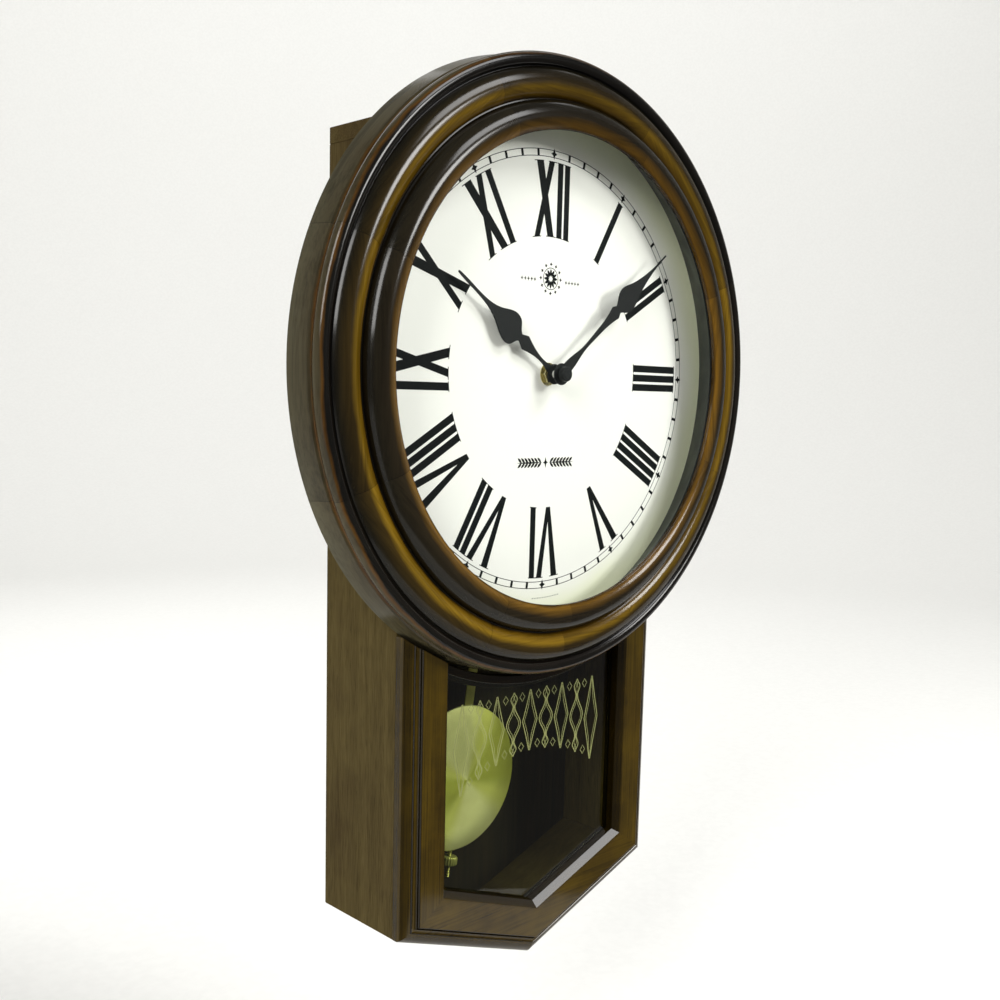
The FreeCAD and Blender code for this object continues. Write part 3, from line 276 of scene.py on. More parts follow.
def bezel_wood():
    """the ring's stain: it follows the mouldings, and each segment has its own tone and run of grain; a
    painted shade darkens the segments towards the top
    """
    wood = Shader("bezel_stain", Coat_Weight=0.42, Coat_Roughness=0.15, Specular_IOR_Level=0.0)
    radius, angle, depth = polar(wood)
    share = wood.over(angle, SEGMENT)
    number = wood.math("ROUND", share)
    inside = wood.times(wood.minus(share, number), SEGMENT)
    along = wood.times(radius, wood.math("SINE", inside))
    across = wood.times(radius, wood.math("COSINE", inside))
    offset = wood.times(number, 37.0)
    grain = wood.node("ShaderNodeCombineXYZ", X=wood.times(along, 0.02), Y=across,
                      Z=wood.plus(wood.times(depth, 900.0), offset)).outputs[0]
    fine = wood.noise(grain, 0.9, 5, 0.6)
    broad = wood.noise(grain, 0.16, 3, 0.5, 0.8)
    cloud = wood.noise(wood.place, 34, 4, 0.55)
    wander = wood.times(wood.minus(cloud, 0.5), 3.2)
    low, high = BEZEL_TONES[0][0], BEZEL_TONES[-1][0]
    moved = wood.plus(radius, wander)
    place = wood.over(wood.minus(moved, low), high - low)
    stops = [((spot - low) / (high - low), tone) for spot, tone in BEZEL_TONES]
    colour = wood.ramp(place, stops, smooth=False)
    random = wood.node("ShaderNodeTexWhiteNoise", {"noise_dimensions": "1D"}, W=wood.plus(number, 7.3))
    tint = wood.ramp(random.outputs["Value"], [(0.0, (0.72, 0.70, 0.68)), (1.0, (1.0, 0.98, 0.92))])
    colour = wood.tinted(colour, tint)
    # Painted shade: the segments towards twelve are darker.
    shade_from_top = wood.over(wood.math("ABSOLUTE", number), SEGMENTS / 2)
    colour = wood.tinted(colour, wood.ramp(shade_from_top, [(0.0, 0.45), (0.25, 0.72), (0.5, 1.0)]))
    streak = wood.ramp(wood.blend(fine, broad, 0.5), [(0.34, 0.42), (0.62, 1.0)])
    colour = wood.mix(0.75, colour, streak, "MULTIPLY")
    seam = wood.math("ABSOLUTE", wood.minus(wood.math("ABSOLUTE", inside), SEGMENT / 2))
    seam = wood.ramp(wood.times(seam, 100.0), [(0.0, 0.35), (0.16, 1.0)], smooth=False)
    colour = wood.tinted(colour, seam)
    roughness = wood.ramp(cloud, [(0.3, 0.30), (0.7, 0.44)])
    return wood.finish(colour, roughness, wood.bump(fine, 0.00004, 0.5))


def raw_wood(name, dark, light, along):
    """unfinished softwood or plywood"""
    wood = Shader(name, Specular_IOR_Level=0.25)
    rings = wood.noise(wood.stretch(along), 1.0, 4, 0.6, 1.2)
    fine = wood.noise(wood.stretch(tuple(value * 7 for value in along)), 1.0, 3, 0.6)
    colour = wood.ramp(wood.blend(rings, fine, 0.7), [(0.35, dark), (0.65, light)])
    roughness = wood.ramp(fine, [(0.3, 0.62), (0.7, 0.8)])
    return wood.finish(colour, roughness, wood.bump(fine, 0.0001, 0.5))


def metal(name, colour, rough=(0.22, 0.4), brushed=(300, 300, 300), metallic=1.0):
    """metal with fine scratches, small changes of tone and smudged gloss"""
    skin = Shader(name, Metallic=metallic)
    scratch = skin.noise(skin.stretch(brushed), 6.0, 4, 0.65)
    smudge = skin.noise(skin.place, 70, 4, 0.6)
    dull = tuple(value * 0.75 for value in colour)
    roughness = skin.ramp(smudge, [(0.3, rough[0]), (0.7, rough[1])])
    tone = skin.mix(skin.ramp(smudge, [(0.35, 0.0), (0.7, 1.0)]), colour, dull)
    return skin.finish(tone, roughness, skin.bump(scratch, 0.00002, 0.35))


def plastic(name, colour, rough=(0.4, 0.55), specular=0.45):
    """moulded plastic or paint with a fine texture"""
    skin = Shader(name, Specular_IOR_Level=specular)
    grain = skin.noise(skin.place, 1600.0, 2, 0.5)
    cloud = skin.noise(skin.place, 45, 3, 0.5)
    dull = tuple(value * 0.8 for value in colour)
    roughness = skin.ramp(cloud, [(0.3, rough[0]), (0.7, rough[1])])
    return skin.finish(skin.mix(cloud, dull, colour), roughness, skin.bump(grain, 0.00002, 0.3))


def dial_paint():
    """cream enamel with a faint orange peel, and towards the rim a darker yellow-green: painted shade under
    the bezel
    """
    paint = Shader("dial_enamel", Specular_IOR_Level=0.2, Coat_Weight=0.08, Coat_Roughness=0.3)
    radius, _, _ = polar(paint)
    cloud = paint.noise(paint.place, 14, 3, 0.5)
    # Painted shade under the bezel: the enamel turns darker and yellow-green towards the rim.
    outwards = paint.plus(paint.over(radius, 200.0), paint.times(cloud, 0.08))
    rim_shade = paint.ramp(outwards, [(0.64, (0.90, 0.905, 0.85)), (0.76, (0.80, 0.83, 0.58))])
    peel = paint.noise(paint.place, 900, 2, 0.5)
    return paint.finish(rim_shade, paint.ramp(cloud, [(0.3, 0.42), (0.7, 0.55)]), paint.bump(peel, 0.00001, 0.25))


def glass(name, tint, gloss_share):
    """thin clear glass: mostly see-through, with the gloss of its surface and faint smears"""
    pane = Shader(name)
    tree = pane.tree
    smear = pane.ramp(pane.noise(pane.place, 22, 4, 0.6, 0.5), [(0.35, 0.0), (0.75, 0.03)])
    gloss = pane.node("ShaderNodeBsdfGlossy", Color=(1, 1, 1, 1), Roughness=smear)
    clear = pane.node("ShaderNodeBsdfTransparent", Color=(*tint, 1))
    fresnel = pane.node("ShaderNodeFresnel", IOR=1.45)
    front = pane.minus(1.0, pane.node("ShaderNodeNewGeometry").outputs["Backfacing"])
    share = pane.times(pane.times(fresnel.outputs[0], front), gloss_share)
    mixed = pane.node("ShaderNodeMixShader", _0=share, _1=clear.outputs[0], _2=gloss.outputs[0])
    tree.nodes.remove(pane.surface)
    tree.links.new(mixed.outputs[0], tree.nodes["Material Output"].inputs["Surface"])
    return pane.material


def spun_brass():
    """a lathe-spun brass disc: fine rings, and a painted highlight in sectors"""
    brass = Shader("spun_brass", Metallic=0.6, Anisotropic=0.5)
    low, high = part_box("pendulum_bob")
    middle = (low + high) / 2
    parts = brass.node("ShaderNodeSeparateXYZ", Vector=brass.place)
    right = brass.minus(parts.outputs[0], middle.x)
    up = brass.minus(parts.outputs[2], middle.z)
    radius = brass.times(brass.span(right, up), 2600.0)
    rings = brass.node("ShaderNodeCombineXYZ", X=radius).outputs[0]
    lines = brass.noise(rings, 1.0, 4, 0.7)
    cloud = brass.noise(brass.place, 60, 3, 0.5)
    angle = brass.plus(brass.math("ARCTAN2", right, up), brass.times(lines, 0.08))
    # Painted highlight: the colour brightens and dims in sectors round the centre, as spun brass catches the
    # light.
    painted_sheen = brass.math("COSINE", brass.times(brass.minus(angle, 2.9), 2.0))
    painted_sheen = brass.ramp(brass.plus(brass.times(painted_sheen, 0.5), 0.5),
                       [(0.1, (0.50, 0.53, 0.10)), (0.5, (0.82, 0.84, 0.26)), (0.9, (1.0, 1.0, 0.58))])
    colour = brass.mix(brass.ramp(cloud, [(0.35, 0.0), (0.7, 0.2)]), painted_sheen, (0.45, 0.43, 0.12))
    tangent = brass.node("ShaderNodeTangent", {"direction_type": "RADIAL", "axis": "Y"})
    brass.tree.links.new(tangent.outputs[0], brass.surface.inputs["Tangent"])
    roughness = brass.ramp(lines, [(0.3, 0.36), (0.7, 0.48)])
    return brass.finish(colour, roughness, brass.bump(lines, 0.000012, 0.5))


def printed_sleeve():
    """a battery's sleeve: dark with a copper band towards the nub"""
    sleeve = Shader("battery_print", Metallic=0.35, Coat_Weight=0.4, Coat_Roughness=0.2)
    low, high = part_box("battery")
    parts = sleeve.node("ShaderNodeSeparateXYZ", Vector=sleeve.place)
    share = sleeve.over(sleeve.minus(parts.outputs[0], low.x), high.x - low.x)
    black, copper = (0.02, 0.02, 0.022), (0.55, 0.27, 0.09)
    colour = sleeve.ramp(share, [(0.0, (0.5, 0.5, 0.5)), (0.02, black), (0.66, black), (0.67, copper),
                                 (0.955, copper), (0.965, (0.6, 0.6, 0.6))], smooth=False)
    cloud = sleeve.noise(sleeve.place, 90, 3, 0.5)
    roughness = sleeve.ramp(cloud, [(0.3, 0.25), (0.7, 0.4)])
    return sleeve.finish(colour, roughness, sleeve.bump(cloud, 0.00002, 0.2))


# The stain's dark, middle and rubbed tones on the door, and its dark and light tones on the case.
DARK, BROWN, AMBER = (0.018, 0.011, 0.001), (0.064, 0.040, 0.003), (0.105, 0.064, 0.003)
CASE_STAIN = ((0.046, 0.033, 0.012), (0.104, 0.078, 0.030))
# A look for each material slot of the record, and for pieces that look different from their slot.
LOOKS = {
    "stained_wood": stained("case_stain", *CASE_STAIN, (1700, 1700, 60), coat=0.08, rough=(0.42, 0.58)),
    "foot_stain": stained("foot_stain", *CASE_STAIN, (60, 1700, 1700), coat=0.08, rough=(0.42, 0.58)),
    "bezel_wood": bezel_wood(),
    "door_wood": stained("door_stain", DARK, BROWN, amber=AMBER, coat=0.55, moulding=DOOR_SHADE_TONES),
    "door_rail_wood": stained("door_rail_stain", DARK, BROWN, (16, 900, 900), amber=AMBER, coat=0.55,
                              moulding=DOOR_SHADE_TONES),
    "back_board_wood": raw_wood("back_plywood", (0.008, 0.006, 0.003), (0.020, 0.014, 0.006), (220, 220, 9)),
    # Near black for the rail under the bezel and the beads behind the glass: painted shade, where the bezel
    # and the frame shadow them.
    "top_rail_wood": stained("rail_painted_shade", (0.004, 0.003, 0.001), (0.014, 0.009, 0.002), (16, 900, 900)),
    "plain_wood": raw_wood("plain_softwood", (0.36, 0.24, 0.12), (0.52, 0.38, 0.22), (9, 160, 160)),
    "zinc_steel": metal("zinc_plate", (0.62, 0.61, 0.58)),
    "spring_steel": metal("contact_plate", (0.7, 0.7, 0.69), (0.15, 0.3)),
    "motor_steel": metal("motor_iron", (0.42, 0.42, 0.43), (0.3, 0.5)),
    "pin_steel": metal("turned_pin", (0.62, 0.62, 0.63), (0.15, 0.3), (20, 20, 900)),
    "copper_coil": metal("enamelled_wire", (0.62, 0.24, 0.09), (0.25, 0.4), (60, 60, 2600)),
    "circuit_green": plastic("solder_mask", (0.02, 0.14, 0.06), (0.25, 0.4)),
    "movement_plastic": plastic("movement_shell", (0.022, 0.022, 0.024)),
    "knob_plastic": plastic("knob_shell", (0.035, 0.035, 0.038)),
    "gear_plastic": plastic("gear_acetal", (0.78, 0.78, 0.72), (0.3, 0.45)),
    "catch_plastic": plastic("catch_shell", (0.10, 0.055, 0.03)),
    "battery_sleeve": printed_sleeve(),
    "magnet_black": plastic("ferrite", (0.03, 0.03, 0.032), (0.5, 0.7)),
    "centre_brass": metal("centre_brass", (0.80, 0.72, 0.38), (0.16, 0.3)),
    "rod_brass": metal("rod_brass", (0.40, 0.38, 0.12), (0.25, 0.42), (900, 900, 20), metallic=0.7),
    "nut_brass": metal("nut_brass", (0.66, 0.66, 0.24), (0.25, 0.42), (900, 900, 20), metallic=0.6),
    "bob_brass": spun_brass(),
    "hinge_brass": metal("hinge_brass", (0.50, 0.37, 0.15), (0.3, 0.5)),
    "dial_glass": glass("dial_pane", (0.985, 0.99, 0.985), 0.4),
    "door_glass": glass("door_pane", (0.86, 0.88, 0.78), 0.7),
    "black_ring": plastic("ring_black", (0.010, 0.014, 0.015), (0.35, 0.5)),
    "dial_paint": dial_paint(),
    "black_hands": plastic("hand_lacquer", (0.007, 0.009, 0.009), (0.42, 0.55), specular=0.15),
    "ink": plastic("printed_ink", (0.004, 0.006, 0.006), (0.5, 0.65), specular=0.06),
    "gilt": plastic("gilt_line", (0.62, 0.60, 0.36), (0.4, 0.5)),
}


# ---------------------------------------------------------------- mesh helpers

SLOTS = {entry["node"]: entry["material_slot"] for entry in frame["record"]["subparts"]}
BODIES = {node: body for body, nodes in frame["record"]["behaviour"]["bodies"].items() for node in nodes}


def shade_smooth(mesh, sharp=35.0):
    """smooth shading, with edges above an angle in degrees kept sharp"""
    for face in mesh.polygons:
        face.use_smooth = True
    mesh.set_sharp_from_angle(angle=math.radians(sharp))


def show(name, shape, node, look=None, stands_in=True, sharp=35.0):
    """a piece with the body and the material slot of a CAD node, which it stands in for or is printed on"""
    slot = SLOTS[node]
    mesh = to_mesh(name, shape)
    mesh.materials.append(LOOKS[look or slot])
    shade_smooth(mesh, sharp)
    piece = bpy.data.objects.new(name, mesh)
    scene.collection.objects.link(piece)
    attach(piece, BODIES[node])
    if stands_in:
        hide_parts(node)
    return piece


def to_mesh(name, shape):
    """a mesh from bmesh, with its faces turned outwards"""
    bmesh.ops.recalc_face_normals(shape, faces=shape.faces[:])
    mesh = bpy.data.meshes.new(name)
    shape.to_mesh(mesh)
    shape.free()
    return mesh


def arc(first, last, rise, steps=14):
    """points after the first on an arc that rises to the right of the way from first to last"""
    (x0, y0), (x1, y1) = first, last
    chord = math.hypot(x1 - x0, y1 - y0)
    radius = (chord ** 2 / 4 + rise ** 2) / (2 * abs(rise))
    half = math.asin(min(1, chord / (2 * radius)))
    if abs(rise) > radius:
        half = math.pi - half
    side = math.copysign(1, rise)
    right = ((y1 - y0) / chord * side, -(x1 - x0) / chord * side)
    along = ((x1 - x0) / chord, (y1 - y0) / chord)
    back = abs(rise) - radius
    centre = ((x0 + x1) / 2 + right[0] * back, (y0 + y1) / 2 + right[1] * back)
    turns = [half * (2 * step / steps - 1) for step in range(1, steps + 1)]
    return [(centre[0] + radius * (right[0] * math.cos(turn) + along[0] * math.sin(turn)),
             centre[1] + radius * (right[1] * math.cos(turn) + along[1] * math.sin(turn))) for turn in turns]


def outline(corners):
    """a closed outline's points; a corner is a pair and, where an arc leaves it, the arc's rise"""
    points = []
    for index, corner in enumerate(corners):
        following = corners[(index + 1) % len(corners)]
        points.append(tuple(corner[:2]))
        if len(corner) == 3:
            points.extend(arc(corner[:2], following[:2], corner[2])[:-1])
    return points


def loft(rows, closed_rows=True, caps=True, ring=False):
    """joins rows of points, each the same number, into a skin; ring also joins the last row to the first"""
    shape = bmesh.new()
    made = [[shape.verts.new(point) for point in row] for row in rows]
    pairs = list(zip(made, made[1:])) + ([(made[-1], made[0])] if ring else [])
    for first, second in pairs:
        count = len(first)
        for index in range(count if closed_rows else count - 1):
            after = (index + 1) % count
            shape.faces.new((first[index], first[after], second[after], second[index]))
    if caps and not ring:
        shape.faces.new(made[0])
        shape.faces.new(made[-1])
    return shape


def closed_ring(rows):
    """the skin of rows that go round an axis, with the points on the axis joined"""
    shape = loft(rows, ring=True)
    bmesh.ops.remove_doubles(shape, verts=shape.verts[:], dist=1e-7)
    return shape


def spin(profile, base, axis, steps=96, flutes=0, depth=0.0):
    """a full turned solid; the profile is radius and height along the axis; flutes notch its widest part"""
    side = Vector((1, 0, 0)) if abs(axis.x) < 0.5 else Vector((0, 1, 0))
    side = (side - axis * side.dot(axis)).normalized()
    other = axis.cross(side)
    widest = max(radius for radius, _ in profile)
    rows = []
    for step in range(steps):
        turn = 2 * math.pi * step / steps
        notch = depth * (0.5 + 0.5 * math.cos(flutes * turn)) if flutes else 0.0
        way = side * math.cos(turn) + other * math.sin(turn)
        rows.append([base + way * (radius - (notch if radius == widest else 0)) * MM + axis * height * MM
                     for radius, height in profile])
    return closed_ring(rows)


def lathe(profile, centre=(0.0, 0.0), steps=180, **flutes):
    """a full turned solid about an axis to the front; the profile is radius and distance out"""
    return spin(profile, at(*centre, 0), Vector((0, -1, 0)), steps, **flutes)


def slab(shape, points, out, thickness):
    """adds a thin flat prism with that outline in front view"""
    front = [shape.verts.new(at(right, up, out + thickness)) for right, up in points]
    back = [shape.verts.new(at(right, up, out)) for right, up in points]
    shape.faces.new(front)
    shape.faces.new(back[::-1])
    count = len(points)
    for index in range(count):
        after = (index + 1) % count
        shape.faces.new((front[index], back[index], back[after], front[after]))


def cad_shape(node):
    """a node's mesh with its faces joined at their edges"""
    shape = bmesh.new()
    shape.from_mesh(frame["nodes"][node].data)
    bmesh.ops.remove_doubles(shape, verts=shape.verts[:], dist=1e-6)
    return shape


def refined(node, look=None, bevel=0.5, segments=3):
    """stands in for a flat-faced CAD node: its solid with the edges eased"""
    shape = cad_shape(node)
    bmesh.ops.dissolve_limit(shape, angle_limit=math.radians(0.6), verts=shape.verts[:], edges=shape.edges[:])
    ease = show(node + "_finished", shape, node, look).modifiers.new("eased_edges", "BEVEL")
    ease.width = bevel * MM
    ease.segments = segments
    ease.limit_method = "ANGLE"
    ease.angle_limit = math.radians(30)
    ease.harden_normals = True


# ---------------------------------------------------------------- bezel

# The ring's section: radius and distance out, and where an arc starts, its rise.
BEZEL = [(175.0, 62.7), (172.9, 76.8), (171.8, 77.7), (171.6, 78.4), (172.0, 79.6, 4.4),
         (165.4, 84.9, -0.25), (164.9, 85.1, 3.9), (148.5, 86.3), (147.9, 86.5, 4.8), (132.2, 92.9, 0.25),
         (131.5, 92.2), (131.5, 90.8), (136.5, 90.8), (136.5, 88.2), (152.2, 70.3), (152.2, 62.7)]
SEGMENT_STEPS = 30


def bezel():
    """eight moulded segments glued end to end"""
    profile = outline(BEZEL)
    for number in range(SEGMENTS):
        rows = []
        for step in range(SEGMENT_STEPS + 1):
            turn = SEGMENT * (number - 0.5 + step / SEGMENT_STEPS)
            rows.append([around(radius, turn, out) for radius, out in profile])
        show(f"bezel_segment_{number}", loft(rows), "bezel_segments", sharp=30)


def spacer():
    """the black cone between the glass and the dial"""
    foot, mouth = outs("spacer_ring")
    profile = [(146.4, foot), (151.3, foot), (136.3, mouth - 0.5), (136.3, mouth), (133.7, mouth),
               (133.2, mouth - 0.5)]
    show("spacer_cone", lathe(profile), "spacer_ring")


# ---------------------------------------------------------------- dial

INNER, OUTER = 77.3, 119.0  # circles that the numerals stand between
BAR, FINE = 4.9, 4.3  # widths of a heavy and a light stroke
SERIF, HAIR = 1.3, 0.5  # how far a serif stands out, and its thickness
TRACK_OUTER, TRACK_INNER, TRACK_LINE = 125.0, 121.2, 0.4
TICK = 1.8
INK_THICKNESS, NUMERAL_THICKNESS = 0.03, 0.05
INK_STEP = 0.002  # strokes that cross lie this far apart, so that no two faces coincide
NUMERALS = ["I", "II", "III", "IIII", "V", "VI", "VII", "VIII", "IX", "X", "XI", "XII"]
# The width a letter takes, and what is added between unlike ones.
ADVANCE = {"I": 5.8, "V": 17.6, "X": 15.8}
GAP = {"VI": 1.0, "XI": 1.5, "IX": 2.0}


def on_circle(across, radius):
    """a point of an upright letter whose end follows a circle about the dial's centre"""
    return across, math.sqrt(radius ** 2 - across ** 2)


def stroke(inner_left, inner_right, outer_left, outer_right):
    """a straight stroke from the inner circle to the outer"""
    return [on_circle(inner_left, INNER), on_circle(inner_right, INNER),
            on_circle(outer_right, OUTER), on_circle(outer_left, OUTER)]


def hairline(left, right, radius, steps=6):
    """a thin serif along a circle"""
    across = [left + (right - left) * step / steps for step in range(steps + 1)]
    lower = [on_circle(place, radius) for place in across]
    upper = [on_circle(place, radius + HAIR) for place in reversed(across)]
    return lower + upper


def letter(kind, middle):
    """a letter's strokes and serifs: I is a bar, V and X are a heavy and a light slash"""
    if kind == "I":
        left, right = middle - BAR / 2 + 0.3, middle + BAR / 2 - 0.3
        return [stroke(left, right, left, right), hairline(left - 0.6, right + 0.6, OUTER - HAIR),
                hairline(left - 0.6, right + 0.6, INNER)]
    half = ADVANCE[kind] / 2
    left, right = middle - half, middle + half
    upper_serifs = [hairline(left - SERIF, left + BAR + SERIF, OUTER - HAIR),
                    hairline(right - FINE - SERIF, right + SERIF, OUTER - HAIR)]
    if kind == "V":
        return [stroke(middle - 1.6, middle + 1.2, left, left + BAR),
                stroke(middle - 1.0, middle + 1.8, right - FINE, right)] + upper_serifs
    return [stroke(right - BAR - 0.2, right, left + 0.5, left + 0.5 + BAR + 0.6),
            stroke(left, left + FINE, right - 0.6 - FINE, right - 0.6), *upper_serifs,
            hairline(left - SERIF, left + FINE + SERIF, INNER),
            hairline(right - BAR - SERIF, right + SERIF, INNER)]


def letter_middles(word):
    """where the middles of the letters stand, the whole word centred"""
    middles, edge, before = [], 0.0, ""
    for kind in word:
        edge += GAP.get(before + kind, 0.0)
        middles.append(edge + ADVANCE[kind] / 2)
        edge += ADVANCE[kind]
        before = kind
    return [middle - edge / 2 for middle in middles]


def turned(points, angle):
    """points of front view turned clockwise about the dial's centre"""
    sine, cosine = math.sin(angle), math.cos(angle)
    return [(right * cosine + up * sine, up * cosine - right * sine) for right, up in points]


def numerals():
    """the roman numerals, read from the centre outwards"""
    shape = bmesh.new()
    for hour, word in enumerate(NUMERALS, start=1):
        angle = math.radians(30 * hour)
        for kind, middle in zip(word, letter_middles(word)):
            for layer, points in enumerate(letter(kind, middle)):
                slab(shape, turned(points, angle), DIAL_FACE + INK_STEP * (layer + 1), NUMERAL_THICKNESS)
    show("dial_numerals", shape, "dial_plate", "ink", stands_in=False)


def circle_line(shape, radius, width, steps=240):
    """a thin printed ring, in short lengths"""
    for step in range(steps):
        turns = [2 * math.pi * (step + share) / steps for share in (0, 1)]
        points = [(spot * math.sin(turn), spot * math.cos(turn)) for spot, turn in
                  ((radius - width / 2, turns[0]), (radius - width / 2, turns[1]),
                   (radius + width / 2, turns[1]), (radius + width / 2, turns[0]))]
        slab(shape, points, DIAL_FACE + INK_STEP, INK_THICKNESS)


def star(across, along, waist, centre, angle=0.0):
    """a four-pointed lozenge"""
    points = []
    for corner in range(4):
        turn = corner * math.pi / 2
        reach = along if corner % 2 == 0 else across
        points.append((reach * math.sin(turn), reach * math.cos(turn)))
        points.append((waist * math.sin(turn + math.pi / 4), waist * math.cos(turn + math.pi / 4)))
    return [(centre[0] + right, centre[1] + up) for right, up in turned(points, angle)]


def minute_track():
    """two hairline rings, a tick for each minute and a lozenge for each hour"""
    shape = bmesh.new()
    circle_line(shape, TRACK_OUTER, TRACK_LINE)
    circle_line(shape, TRACK_INNER, TRACK_LINE)
    middle = (TRACK_OUTER + TRACK_INNER) / 2
    for minute in range(60):
        angle = math.radians(6 * minute)
        if minute % 5 == 0:
            points = star(2.5, 3.1, 1.25, (0, middle))
        else:
            points = [(-TICK / 2, TRACK_INNER), (TICK / 2, TRACK_INNER),
                      (TICK / 2, TRACK_OUTER), (-TICK / 2, TRACK_OUTER)]
        slab(shape, turned(points, angle), DIAL_FACE + 2 * INK_STEP, INK_THICKNESS)
    show("dial_minute_track", shape, "dial_plate", "ink", stands_in=False)


def leaf(start, end, width, steps=8):
    """a pointed leaf between two points"""
    (x0, y0), (x1, y1) = start, end
    length = math.hypot(x1 - x0, y1 - y0)
    normal = (-(y1 - y0) / length, (x1 - x0) / length)
    points = []
    for side in (1, -1):
        order = range(steps) if side > 0 else range(steps, 0, -1)
        for step in order:
            share = step / steps
            swell = side * width / 2 * math.sin(math.pi * share) ** 0.8
            points.append((x0 + (x1 - x0) * share + normal[0] * swell,
                           y0 + (y1 - y0) * share + normal[1] * swell))
    return points


def ring_points(radius, centre, steps=40):
    """points of a circle, clockwise from the top"""
    return [(centre[0] + radius * math.sin(2 * math.pi * step / steps),
             centre[1] + radius * math.cos(2 * math.pi * step / steps)) for step in range(steps)]


ROSETTE, SPRIG, DOTS = 54.0, -51.0, -131.0  # heights of the ornaments' middles
PETALS, LEAVES = 12, 7


def dial_ornaments():
    """generic print: a rosette with lozenges round it and beside it, two laurel sprigs, a row of dots"""
    shape = bmesh.new()
    out = DIAL_FACE + 1.5 * INK_STEP

    def stamp(points):
        slab(shape, points, out, INK_THICKNESS)

    for petal in range(PETALS):
        turn = 2 * math.pi * petal / PETALS
        right, up = math.sin(turn), math.cos(turn)
        stamp(leaf((right * 1.2, ROSETTE + up * 1.2), (right * 5.6, ROSETTE + up * 5.6), 1.7))
        stamp(star(1.15, 1.15, 0.6, (right * 8.2, ROSETTE + up * 8.2), turn))
    ribbon(shape, ring_points(6.1, (0, ROSETTE)), 0.4, out, INK_THICKNESS)
    for side in (-1, 1):
        for step in range(5):
            stamp(star(1.1, 1.3, 0.5, (side * (13.0 + 2.6 * step), ROSETTE - 1.2)))
        stamp(leaf((side * 2.6, SPRIG), (side * 24.0, SPRIG), 0.9))
        for step in range(LEAVES):
            root = 3.6 + 2.7 * step
            for tip in (-1, 1):
                stamp(leaf((side * root, SPRIG), (side * (root + 3.3), SPRIG + tip * 2.9), 1.5))
    stamp(star(2.0, 3.2, 1.0, (0, SPRIG)))
    for dot in range(-5, 6):
        stamp(turned(star(0.6, 0.45, 0.3, (0, DOTS)), math.radians(0.95 * dot - 1.3)))
    show("dial_ornaments", shape, "dial_plate", "ink", stands_in=False)


def dial():
    """the enamelled plate and its print"""
    back, front = outs("dial_plate")
    profile = [(3.95, back), (151.1, back), (151.1, front - 0.1), (151.0, front), (3.95, front)]
    show("dial_disc", lathe(profile), "dial_plate")
    numerals()
    minute_track()
    dial_ornaments()


def hands():
    """the two hands, the domed nut that holds them and the brass nut behind"""
    refined("hour_hand", bevel=0.14, segments=2)
    refined("minute_hand", bevel=0.14, segments=2)
    back, front = outs("hand_nut")
    cap = [(1.02, back), (2.7, back), (2.9, back + 0.8), (3.9, back + 1.2, 0.3), (4.2, back + 2.0),
           (4.2, front - 0.9, 0.2), (3.5, front - 0.25), (3.2, front - 0.25, -0.2), (2.6, front),
           (0.3, front), (0.3, front - 1.5), (1.02, front - 1.6)]
    show("cap_nut", lathe(outline(cap), steps=64), "hand_nut")
    refined("dial_nut", bevel=0.3)


# ---------------------------------------------------------------- door

# The frame's section: inset from its outer edge and distance out, and where an arc starts, its rise.
DOOR = [(0.0, 63.0), (0.0, 66.5), (0.15, 66.7, -0.9), (6.3, 70.6, -0.05), (6.7, 71.5, 0.9), (9.6, 72.5, 0.1),
        (10.05, 71.9, -0.08), (10.5, 73.6), (10.9, 73.8), (27.9, 73.8), (28.2, 73.65), (31.6, 69.8),
        (31.6, 65.2), (28.6, 65.2), (28.6, 63.0)]
ARCH = 176.6  # radius of the stiles' upper ends, which follow the bezel
MITRE_STEPS = 8


def stile_top(inset):
    """where a line of the moulding meets the arch under the bezel"""
    reach = HALF_WIDTH - inset
    return -reach, -math.sqrt(ARCH ** 2 - reach ** 2)


def corner(inset):
    """where a line of the moulding turns from the stile to the foot rail"""
    reach = HALF_WIDTH - inset
    return -reach, VERTEX + reach * SLOPE + inset * EDGE


def vertex(inset):
    """where a line of the moulding meets its other half at the bottom of the V"""
    return 0.0, VERTEX + inset * EDGE


def member(node, start, end, side, look=None):
    """one mitred length of the door's frame; side is -1 for the left"""
    rows = []
    section = outline(DOOR)
    for step in range(MITRE_STEPS + 1):
        share = step / MITRE_STEPS
        row = []
        for inset, out in section:
            (x0, y0), (x1, y1) = start(inset), end(inset)
            row.append(at(-side * (x0 + (x1 - x0) * share), y0 + (y1 - y0) * share, out))
        rows.append(row)
    show(node + "_moulded", loft(rows), node, look, sharp=20)


FRIEZE_TOP, FRIEZE_MIDDLE, FRIEZE_DROP, FRIEZE_HALF = -188.0, -225.5, 21, 63
FRIEZE_CELLS, FRIEZE_PITCH = 9, 14.0
FRIEZE_GAP, PRINT = 0.03, 0.02  # between the glass and the print, and the print's thickness


def frieze_bottom(right):
    """the arched lower edge of the ornament on the door's glass"""
    return FRIEZE_MIDDLE - FRIEZE_DROP * (right / FRIEZE_HALF) ** 2


def ribbon(shape, points, width, out, thickness):
    """a closed line of even width through points"""
    count = len(points)
    edges = []
    for index, (x, y) in enumerate(points):
        (xa, ya), (xb, yb) = points[index - 1], points[(index + 1) % count]
        length = math.hypot(xb - xa, yb - ya) or 1.0
        normal = (-(yb - ya) / length * width / 2, (xb - xa) / length * width / 2)
        edges.append(((x + normal[0], y + normal[1]), (x - normal[0], y - normal[1])))
    for index in range(count):
        (a, b), (c, d) = edges[index], edges[(index + 1) % count]
        slab(shape, [a, b, d, c], out, thickness)


